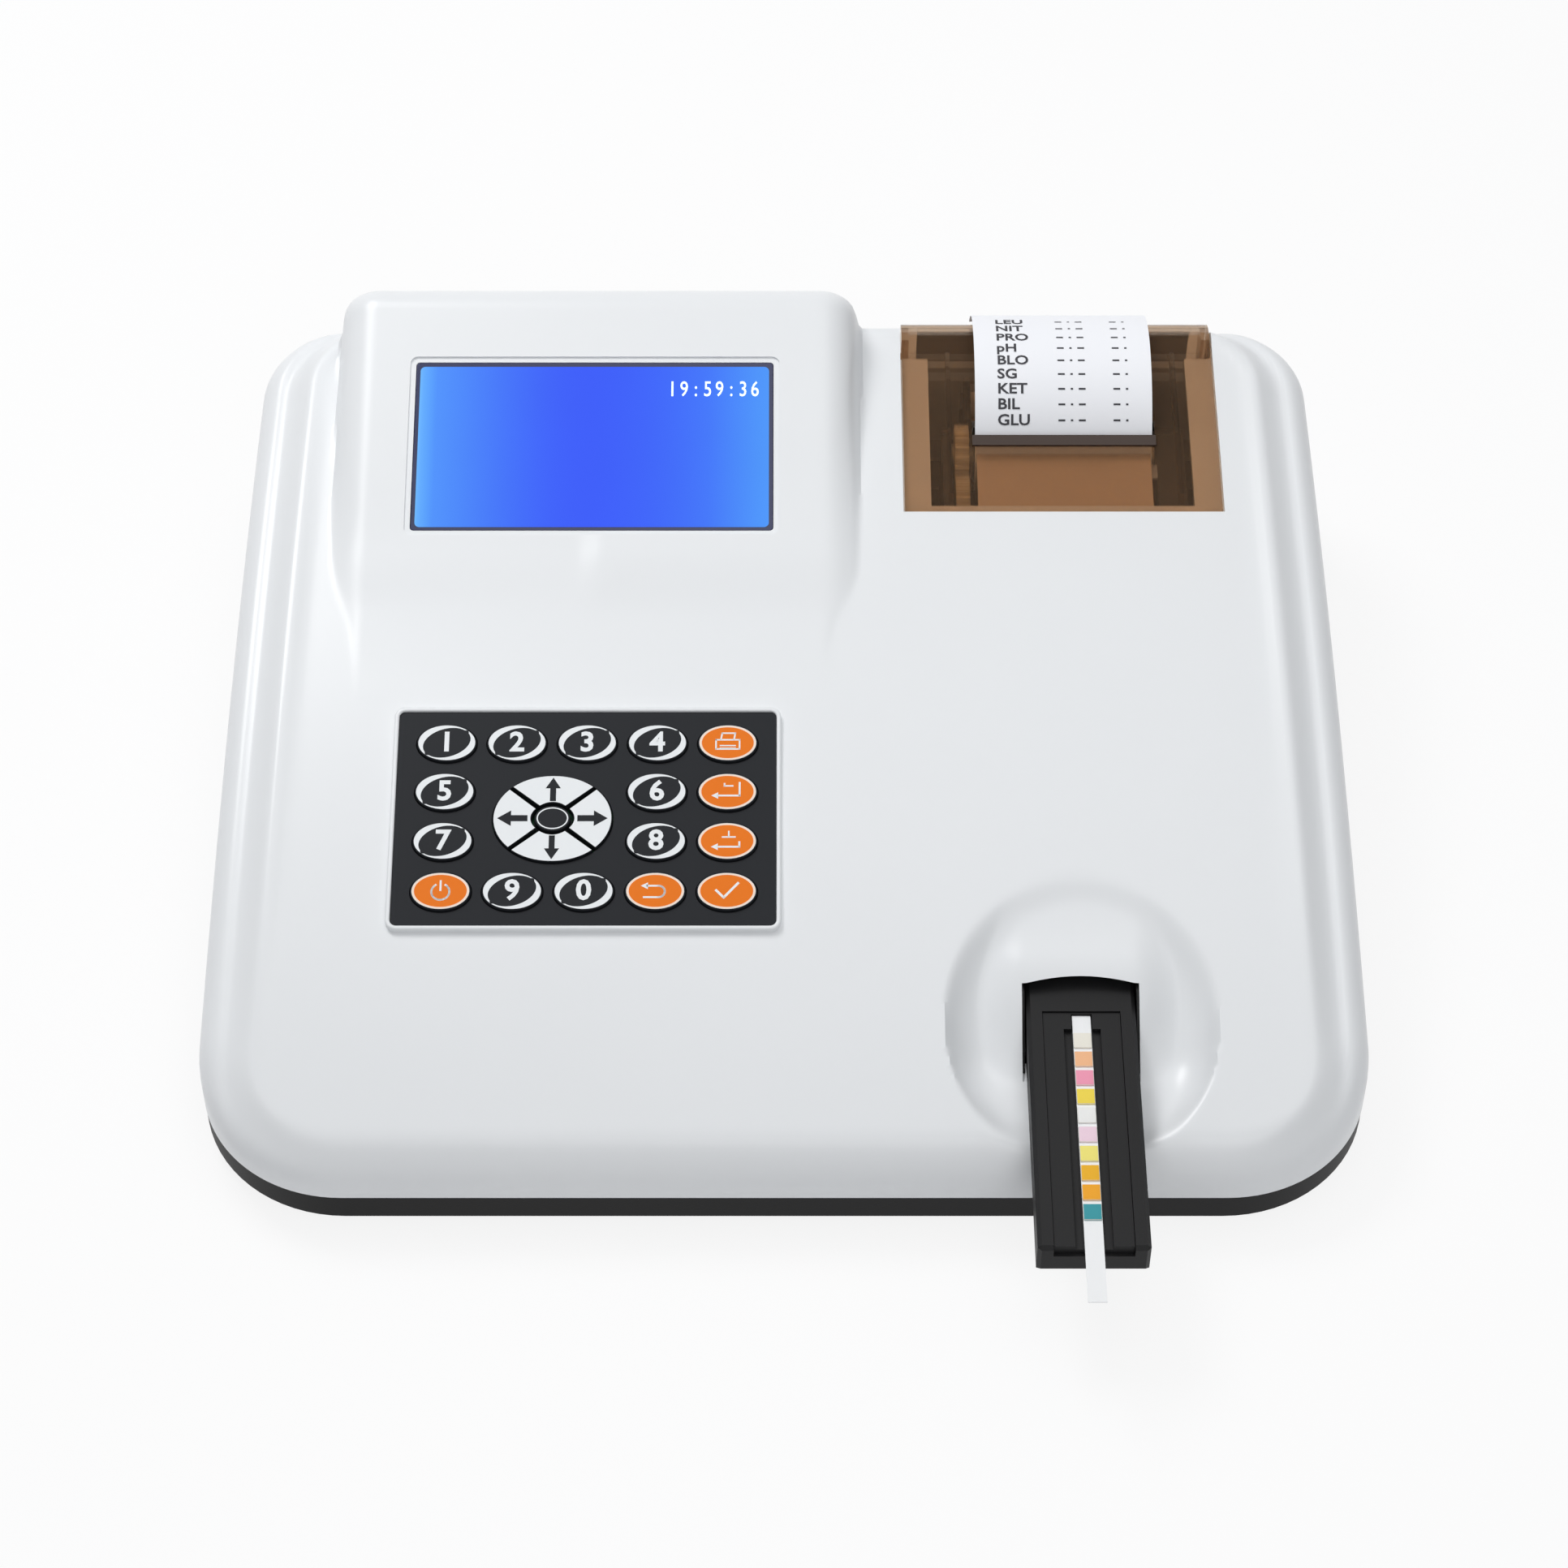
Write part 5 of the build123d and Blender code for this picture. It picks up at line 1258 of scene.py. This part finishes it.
@dataclass
class Keypad:
    """Key caps, navigation ring and their printed signs."""

    shell: UpperShell
    key: Point2 = (18.3, 12.9)
    pitch: Point2 = (21.5, 16.8)
    proud: float = 1.0
    nav_size: Point2 = (36.3, 29.4)
    nav_at: Point2 = (-10.0, -0.717)
    nav_gap: float = 1.0
    centre: Point2 = (10.8, 8.6)
    flange: float = 0.9

    def spot(self, column: int, row: int) -> Point2:
        """Middle of a key by column and row."""
        return (column - 2) * self.pitch[0], (1.5 - row) * self.pitch[1]

    def cap(self, name: str, x: float, y: float) -> Mesher:
        """Key cap's body with its flange under the panel.

        Args:
            name: Name of the piece.
            x, y: Middle of the key.

        Returns:
            Faces so far.
        """
        made = Mesher(name)
        place = self.shell.pad_place()
        w, l = self.key
        made.prism(oval(x, y, w, l, count=72), -2.4, self.proud, place, LEGEND, PANEL, 0.45)
        made.prism(oval(x, y, w + 2 * self.flange, l + 2 * self.flange, count=48), -3.3, -2.35,
                   place, PANEL)
        return made

    def number(self, name: str, digit: str, column: int, row: int) -> None:
        """Number key: white oval ring, tilted black field and a bold digit.

        Args:
            name: Name of the key.
            digit: What it shows.
            column, row: Its place in the pad.
        """
        x, y = self.spot(column, row)
        made = self.cap(f"{name}_cap", x, y)
        place, top = self.shell.pad_place(), self.proud
        w, l = self.key
        made.flat(oval(x, y, w - 3.4, l - 3.2, 18, 64), top + 0.02, place, PANEL)
        made.lettering(digit, 9.3, x, y, top + 0.05, place, LEGEND, 0.26, 1.0)
        for turn in (40, 220):
            a = math.radians(turn)
            px, py = x + (w / 2 - 2.0) * math.cos(a), y + (l / 2 - 1.5) * math.sin(a)
            made.flat(oval(px, py, 2.6, 1.9, turn, 20), top + 0.03, place, PANEL)
        made.make(name, [name], 40, "key_white")

    def sign(self, name: str, icon: Icon, column: int, row: int) -> None:
        """Orange key with its white sign.

        Args:
            name: Name of the key.
            icon: Sign that it shows.
            column, row: Its place in the pad.
        """
        x, y = self.spot(column, row)
        made = self.cap(f"{name}_cap", x, y)
        place, top = self.shell.pad_place(), self.proud
        w, l = self.key
        made.prism(oval(x, y, w - 1.1, l - 1.1, count=72), top - 0.1, top + 0.02, place,
                   LEGEND_RING)
        made.flat(oval(x, y, w - 2.4, l - 2.2, 0, 64), top + 0.035, place, ORANGE)
        strokes, tips = icon.value
        for width, closed, path in strokes:
            made.stroke([(x + u, y + v) for u, v in path], width, top + 0.05, place, LEGEND,
                        closed)
        for u, v in tips:
            head = ((-1.5, 0), (0.6, -1.125), (0.6, 1.125))
            made.flat([(x + u + du, y + v + dv) for du, dv in head], top + 0.05, place, LEGEND)
        made.make(name, [name], 40, "key_orange")

    def ring(self) -> None:
        """Navigation ring in four quarters, and its centre key."""
        place, top = self.shell.pad_place(), self.proud
        (cx, cy), (w, l) = self.nav_at, self.nav_size
        for name, turn in (("nav_right", 0), ("nav_up", 90), ("nav_left", 180), ("nav_down", 270)):
            made = Mesher(f"{name}_cap")
            outer = self.sector(w, l, turn)
            inner = self.sector(self.centre[0] + 2.0, self.centre[1] + 2.0, turn)
            made.prism([(cx + u, cy + v) for u, v in outer + inner[::-1]], -2.4, top, place,
                       LEGEND, PANEL, 0.3)
            c, s = math.cos(math.radians(turn)), math.sin(math.radians(turn))
            flat_on = turn % 180 == 0
            reach, size = (w if flat_on else l) / 2 * 0.67, 4.0 if flat_on else 3.5
            arrow = ((1.15, 0), (0.1, 0.66), (0.1, 0.26), (-1.15, 0.26), (-1.15, -0.26),
                     (0.1, -0.26), (0.1, -0.66))
            made.flat([(cx + reach * c + size * (u * c - v * s),
                        cy + reach * s + size * (u * s + v * c)) for u, v in arrow],
                      top + 0.03, place, PANEL)
            made.make(name, [name], 40, "key_white")
        made = Mesher("nav_centre_cap")
        w, l = self.centre
        made.prism(oval(cx, cy, w, l, count=56), -2.4, top, place, PANEL, PANEL, 0.3)
        made.prism(oval(cx, cy, w + 0.6, l + 0.6, count=40), -3.3, -2.35, place, PANEL)
        hoop = oval(cx, cy, w - 1.2, l - 1.2, count=56) + oval(cx, cy, w - 2.0, l - 2.0, count=56)
        made.add([place(u, v, top + 0.03) for u, v in hoop],
                 [[i, (i + 1) % 56, 56 + (i + 1) % 56, 56 + i] for i in range(56)], LEGEND)
        made.make("nav_centre", ["nav_centre"], 40, "key_dark")

    def sector(self, w: float, l: float, turn: float) -> list[Point2]:
        """Quarter of an oval, drawn back by half a gap at each end.

        Args:
            w, l: Size of the oval across and along.
            turn: Where its middle lies, in degrees.

        Returns:
            Points about the oval's middle.
        """
        trim = 45 - math.degrees(self.nav_gap / min(w, l)) * 1.02
        return [(w / 2 * math.cos(math.radians(a)), l / 2 * math.sin(math.radians(a)))
                for a in np.linspace(turn - trim, turn + trim, 24)]

    def build(self) -> None:
        """Make every key."""
        numbers = (("key_1", "1", 0, 0), ("key_2", "2", 1, 0), ("key_3", "3", 2, 0),
                   ("key_4", "4", 3, 0), ("key_5", "5", 0, 1), ("key_6", "6", 3, 1),
                   ("key_7", "7", 0, 2), ("key_8", "8", 3, 2), ("key_9", "9", 1, 3),
                   ("key_0", "0", 2, 3))
        for name, digit, column, row in numbers:
            self.number(name, digit, column, row)
        signs = (("key_print", Icon.PRINT, 4, 0), ("key_enter", Icon.ENTER, 4, 1),
                 ("key_feed", Icon.FEED, 4, 2), ("key_power", Icon.POWER, 0, 3),
                 ("key_back", Icon.BACK, 3, 3), ("key_confirm", Icon.CONFIRM, 4, 3))
        for name, icon, column, row in signs:
            self.sign(name, icon, column, row)
        self.ring()


# --- strip --------------------------------------------------------------------------------
def repeat_tree(name: str, sizes: dict[str, float]) -> bpy.types.NodeTree:
    """Geometry tree that lays copies of a block in a row along Y.

    Args:
        name: Name of the tree.
        sizes: Default of each named input.

    Returns:
        Geometry tree that ends in Realize Instances and Set Material.
    """
    tree = new_group(name, "GeometryNodeTree", [
        ("Geometry", "Geometry", None), ("Count", "Int", int(sizes["Count"])),
        *((label, "Float", sizes[label])
          for label in ("Pitch", "Width", "Length", "Height", "Base")),
        ("Finish", "Material", None)], [("Geometry", "Geometry")])
    entry = add_node(tree, "NodeGroupInput").outputs
    back = add_node(tree, "ShaderNodeMath", {0: entry["Pitch"], 1: -1.0}, operation="MULTIPLY")
    step = add_node(tree, "ShaderNodeCombineXYZ", {"Y": back.outputs[0]})
    line = add_node(tree, "GeometryNodeMeshLine",
                    {"Count": entry["Count"], "Offset": step.outputs[0]})
    size = add_node(tree, "ShaderNodeCombineXYZ",
                    {"X": entry["Width"], "Y": entry["Length"], "Z": entry["Height"]})
    block = add_node(tree, "GeometryNodeMeshCube", {
        "Vertices X": 5, "Vertices Y": 5, "Vertices Z": 3, "Size": size.outputs[0]})
    lift = add_node(tree, "ShaderNodeCombineXYZ", {"Z": entry["Base"]})
    spot = add_node(tree, "GeometryNodeTransform",
                    {"Geometry": block.outputs["Mesh"], "Translation": lift.outputs[0]})
    put = add_node(tree, "GeometryNodeInstanceOnPoints",
                   {"Points": line.outputs["Mesh"], "Instance": spot.outputs["Geometry"]})
    real = add_node(tree, "GeometryNodeRealizeInstances", {"Geometry": put.outputs["Instances"]})
    dressed = add_node(tree, "GeometryNodeSetMaterial",
                       {"Geometry": real.outputs["Geometry"], "Material": entry["Finish"]})
    add_node(tree, "NodeGroupOutput", {"Geometry": dressed.outputs["Geometry"]})
    return tree


def grown(name: str, tree: bpy.types.NodeTree, values: dict[str, object],
          move: Vector) -> bpy.types.Object:
    """Run a geometry tree and keep its result as a plain mesh.

    Args:
        name: Name of the new piece.
        tree: Geometry tree to run.
        values: Value of each named input.
        move: Where the result is put.

    Returns:
        Object with the result as its mesh and no modifier.
    """
    piece = bpy.data.objects.new(name, bpy.data.meshes.new(name))
    bpy.context.scene.collection.objects.link(piece)
    run = piece.modifiers.new("repeat", "NODES")
    run.node_group = tree
    for item in tree.interface.items_tree:
        if item.item_type == "SOCKET" and item.in_out == "INPUT" and item.name in values:
            run[item.identifier] = values[item.name]
    graph = bpy.context.evaluated_depsgraph_get()
    made = bpy.data.meshes.new_from_object(piece.evaluated_get(graph))
    piece.modifiers.remove(run)
    piece.data = made
    made.transform(Matrix.Translation(move))
    return piece


@dataclass
class Strip:
    """Test strip's reagent pads, with their colours from the rear."""

    x: float = 88.4
    first_y: float = 39.1
    pitch: float = 6.76
    length: float = 5.4
    width: float = 5.3
    base: float = 39.1
    height: float = 0.5
    round_by: float = 0.1
    tones: tuple[tuple[int, int, int], ...] = (
        (244, 240, 228), (251, 192, 146), (248, 160, 186), (248, 222, 84), (246, 246, 244),
        (247, 218, 232), (249, 236, 128), (244, 184, 44), (248, 172, 44), (62, 156, 166))

    def build(self) -> None:
        """Lay the pads along the strip and colour each one."""
        sizes = {"Count": len(self.tones), "Pitch": self.pitch * MM, "Width": self.width * MM,
                 "Length": self.length * MM, "Height": self.height * MM,
                 "Base": self.height / 2 * MM}
        tree = repeat_tree("pad_row", sizes)
        papers = [Finish(f"reagent_{k + 1}", rgb(*tone), rgb(*[int(c * 0.94) for c in tone]), 0.8,
                         0.5, 0.1, Surface.FIBRE, 0.35) for k, tone in enumerate(self.tones)]
        row = grown("reagent_row", tree, {**sizes, "Finish": papers[0].make()},
                    world(self.x, self.first_y, self.base))
        mesh = row.data
        mesh.materials.clear()
        for paper in papers:
            mesh.materials.append(paper.make())
        for face in mesh.polygons:
            at = (self.first_y + FRONT) * MM - face.center.y
            face.material_index = max(0, min(len(papers) - 1, round(at / (self.pitch * MM))))
        self.soften(row)
        smooth(row, 50)
        dress(row, "tray", ["reagent_pads"])

    def soften(self, row: bpy.types.Object) -> None:
        """Round the pads' outer edges a little.

        Args:
            row: Object with every pad.
        """
        work = bmesh.new()
        work.from_mesh(row.data)
        bmesh.ops.remove_doubles(work, verts=work.verts[:], dist=1e-6)
        sharp = [e for e in work.edges if len(e.link_faces) == 2 and e.calc_face_angle(0) > 1.0]
        bmesh.ops.bevel(work, geom=sharp, offset=self.round_by * MM, segments=2, affect="EDGES",
                        profile=0.5)
        bmesh.ops.recalc_face_normals(work, faces=work.faces[:])
        work.to_mesh(row.data)
        work.free()


# --- printer ------------------------------------------------------------------------------
@dataclass
class Printer:
    """Paper with its printed list, and the lining of the lid's rear end."""

    paper_x: float = 90.0
    paper_w: float = 57.0
    thick: float = 0.25
    platen: Point2 = (253.6, 67.386)
    web_r: float = 9.9
    climb: float = 52.0
    run: float = 8.0
    split: float = 0.5
    exit_run: float = 5.2
    curl_r: float = 35.0
    end_angle: float = -62.0
    rows: tuple[str, ...] = ("LEU", "NIT", "PRO", "pH", "BLO", "SG", "KET", "BIL", "GLU")
    mark: str = "-.-"
    row_pitch: float = 5.1
    row_start: float = 5.0
    torn: float = 0.35

    def __post_init__(self) -> None:
        """Work out the curl's centre."""
        a = math.radians(self.climb)
        self.along, self.up = (math.cos(a), math.sin(a)), (-math.sin(a), math.cos(a))
        y0 = self.platen[0] + self.up[0] * self.web_r + self.along[0] * self.run
        z0 = self.platen[1] + self.up[1] * self.web_r + self.along[1] * self.run
        self.centre = (y0 - self.up[0] * self.curl_r, z0 - self.up[1] * self.curl_r)

    def path(self, reach: float) -> tuple[float, float, float]:
        """Point of the paper's inner face, straight before the curl's start.

        Args:
            reach: Length from the curl's start, below 0 on the straight run.

        Returns:
            Y and Z from the housing's front edge, and the outward angle.
        """
        angle = math.radians(self.climb + 90) - max(reach, 0.0) / self.curl_r
        back = min(reach, 0.0)
        return (self.centre[0] + self.curl_r * math.cos(angle) + back * self.along[0],
                self.centre[1] + self.curl_r * math.sin(angle) + back * self.along[1], angle)

    def length(self) -> float:
        """Length of the curl."""
        return self.curl_r * math.radians(self.climb - self.end_angle)

    def place(self) -> Placer:
        """Placer of the paper's upper face: x across, y along the curl, height over it."""
        def put(u: float, v: float, w: float) -> Vector:
            """One point on the curl."""
            y, z, angle = self.path(v)
            r = self.thick + w
            return world(self.paper_x + u, y + r * math.cos(angle), z + r * math.sin(angle))

        return put

    def build_paper(self) -> None:
        """Curled paper with its torn end and its printed list."""
        put = self.place()
        lengths = [self.exit_run + self.split - self.run, *np.linspace(0, self.length(), 60)]
        spread = np.linspace(-self.paper_w / 2, self.paper_w / 2, 24)
        n, m = len(lengths), len(spread)
        points = [put(u, v - (self.torn if v == lengths[-1] and k % 2 else 0.0), side)
                  for side in (0.0, -self.thick) for v in lengths for k, u in enumerate(spread)]
        rim = grid_border(n, m, 0)
        sheet = Mesher("paper_curl")
        sheet.add(points, grid_faces(n, m, 0, False) + grid_faces(n, m, n * m, True) + [
            [a, n * m + a, n * m + b, b] for a, b in zip(rim, rim[1:] + rim[:1])], PAPER)
        sheet.make("housing", ["paper_tail"], 50, "paper_white")
        ink = Mesher("printed_list")
        self.place_rows(ink, put)
        ink.make("housing", ["paper_tail"], 60, "paper_white")

    def build_baffle(self) -> None:
        """Thin lining on the inner face of the lid's rear end."""
        outer = [(303.65, 61.9), *arc(294.0, 71.2, 9.65, 0, 62, 14)]
        inner = [*arc(294.0, 71.2, 9.3, 0, 62, 14)[::-1], (303.3, 61.9)]
        lining = Mesher("lid_lining")
        lining.slab(outer + inner, 44.0, 134.0, BAFFLE)
        lining.make("lid", angle=40)

    def place_rows(self, ink: Mesher, put: Placer) -> None:
        """Print one row for each analyte, the first furthest along the curl.

        Args:
            ink: Mesher that takes the print.
            put: Placer of the paper's upper face.
        """
        for k, label in enumerate(self.rows):
            at = self.row_start + (len(self.rows) - 1 - k) * self.row_pitch
            ink.lettering(label, 4.9, -21.3, at, 0.12, put, INK, 0.1, 1.12, "LEFT")
            for x, dots in ((2.7, self.mark), (18.8, self.mark[:2])):
                for i, sign in enumerate(dots):
                    u = x + (i - (len(dots) - 1) / 2) * 3.3
                    wide = 2.2 if sign == "-" else 0.75
                    ink.flat(box_outline(u, at, wide, 0.6), 0.1, put, INK)


def dress_nodes(nodes: dict[str, bpy.types.Object]) -> None:
    """Give every carried-over CAD node its finish.

    Args:
        nodes: Objects of the frame by node name.
    """
    for name, piece in nodes.items():
        finish = NODE_FINISH.get(name)
        if not finish:
            continue
        made = finish.make()
        if not piece.material_slots:
            piece.data.materials.append(made)
        for slot in piece.material_slots:
            slot.material = made


# --- stage --------------------------------------------------------------------------------
@dataclass
class Studio:
    """Pale floor, soft lights and the camera."""

    camera_at: Point3 = (0.0, -0.80324, 1.00677)
    pitch: float = 40.0
    lens: float = 92.98

    def build(self) -> None:
        """Make floor, lights, world and camera."""
        self.floor()
        self.world()
        self.lamp("key_light", (-0.6, 0.75, 1.35), 0.6, 11.8)
        self.lamp("fill_light", (0.3, -1.0, 1.2), 0.9, 4.4)
        self.lamp("top_light", (0.25, 0.3, 1.7), 1.0, 4.4)
        data = bpy.data.cameras.new("view")
        data.lens, data.sensor_width = self.lens, 36.0
        data.clip_start, data.clip_end = 0.01, 20.0
        camera = bpy.data.objects.new("view", data)
        camera.location = self.camera_at
        camera.rotation_euler = (math.radians(self.pitch), 0.0, 0.0)
        bpy.context.scene.collection.objects.link(camera)
        bpy.context.scene.camera = camera
        bpy.context.scene.view_settings.view_transform = "Standard"

    def lamp(self, name: str, at: Point3, size: float, power: float) -> None:
        """Soft area lamp aimed at the object's middle.

        Args:
            name: Name of the lamp.
            at: Where it hangs, in metres.
            size: Its width in metres.
            power: Its power in watts.
        """
        data = bpy.data.lights.new(name, "AREA")
        data.energy, data.size = power, size
        lamp = bpy.data.objects.new(name, data)
        lamp.location = at
        aim = Vector((0.0, 0.0, 0.04)) - Vector(at)
        lamp.rotation_euler = aim.to_track_quat("-Z", "Y").to_euler()
        bpy.context.scene.collection.objects.link(lamp)

    def seen(self, tree: bpy.types.NodeTree) -> bpy.types.NodeSocket:
        """Tell the rays that the camera sees from the ones that light.

        Args:
            tree: Tree that gets the nodes.

        Returns:
            Socket that is 1 for camera, glossy and transmission rays.
        """
        path = add_node(tree, "ShaderNodeLightPath").outputs
        made = path["Is Camera Ray"]
        for kind in ("Is Glossy Ray", "Is Transmission Ray"):
            made = add_node(tree, "ShaderNodeMath", {0: made, 1: path[kind]},
                            operation="MAXIMUM").outputs[0]
        return made

    def world(self) -> None:
        """White surround for the camera, softer grey for the light on the object."""
        place = bpy.data.worlds.new("studio")
        bpy.context.scene.world = place
        place.use_nodes = True
        tree = place.node_tree
        tree.nodes.clear()
        soft = add_node(tree, "ShaderNodeBackground",
                        {"Color": (0.96, 0.98, 1.0, 1), "Strength": 0.32})
        white = add_node(tree, "ShaderNodeBackground", {"Color": (1, 1, 1, 1)})
        mix = add_node(tree, "ShaderNodeMixShader",
                       {0: self.seen(tree), 1: soft.outputs[0], 2: white.outputs[0]})
        add_node(tree, "ShaderNodeOutputWorld", {0: mix.outputs[0]})

    def floor(self) -> None:
        """Wide pale floor that stays near white in the picture."""
        mesh = bpy.data.meshes.new("floor")
        mesh.from_pydata([(-6, -6, 0), (6, -6, 0), (6, 6, 0), (-6, 6, 0)], [], [(0, 1, 2, 3)])
        floor = bpy.data.objects.new("floor", mesh)
        bpy.context.scene.collection.objects.link(floor)
        made = bpy.data.materials.new("floor_pale")
        made.use_nodes = True
        tree = made.node_tree
        shader = tree.nodes["Principled BSDF"]
        feed(tree, shader, {"Base Color": (0.88, 0.88, 0.89, 1), "Roughness": 0.7})
        share = add_node(tree, "ShaderNodeMath", {0: self.seen(tree), 1: 0.86},
                         operation="MULTIPLY")
        glow = add_node(tree, "ShaderNodeEmission")
        mix = add_node(tree, "ShaderNodeMixShader",
                       {0: share.outputs[0], 1: shader.outputs[0], 2: glow.outputs[0]})
        feed(tree, tree.nodes["Material Output"], {"Surface": mix.outputs[0]})
        mesh.materials.append(made)


def main() -> None:
    """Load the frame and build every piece."""
    logging.basicConfig(level=logging.INFO, format="%(name)s: %(message)s")
    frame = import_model()
    dress_nodes(frame["nodes"])
    shell = UpperShell(Housing())
    shell.build()
    Display(shell).build()
    Keypad(shell).build()
    Strip().build()
    printer = Printer()
    printer.build_paper()
    printer.build_baffle()
    Studio().build()


if __name__ == "__main__":
    main()
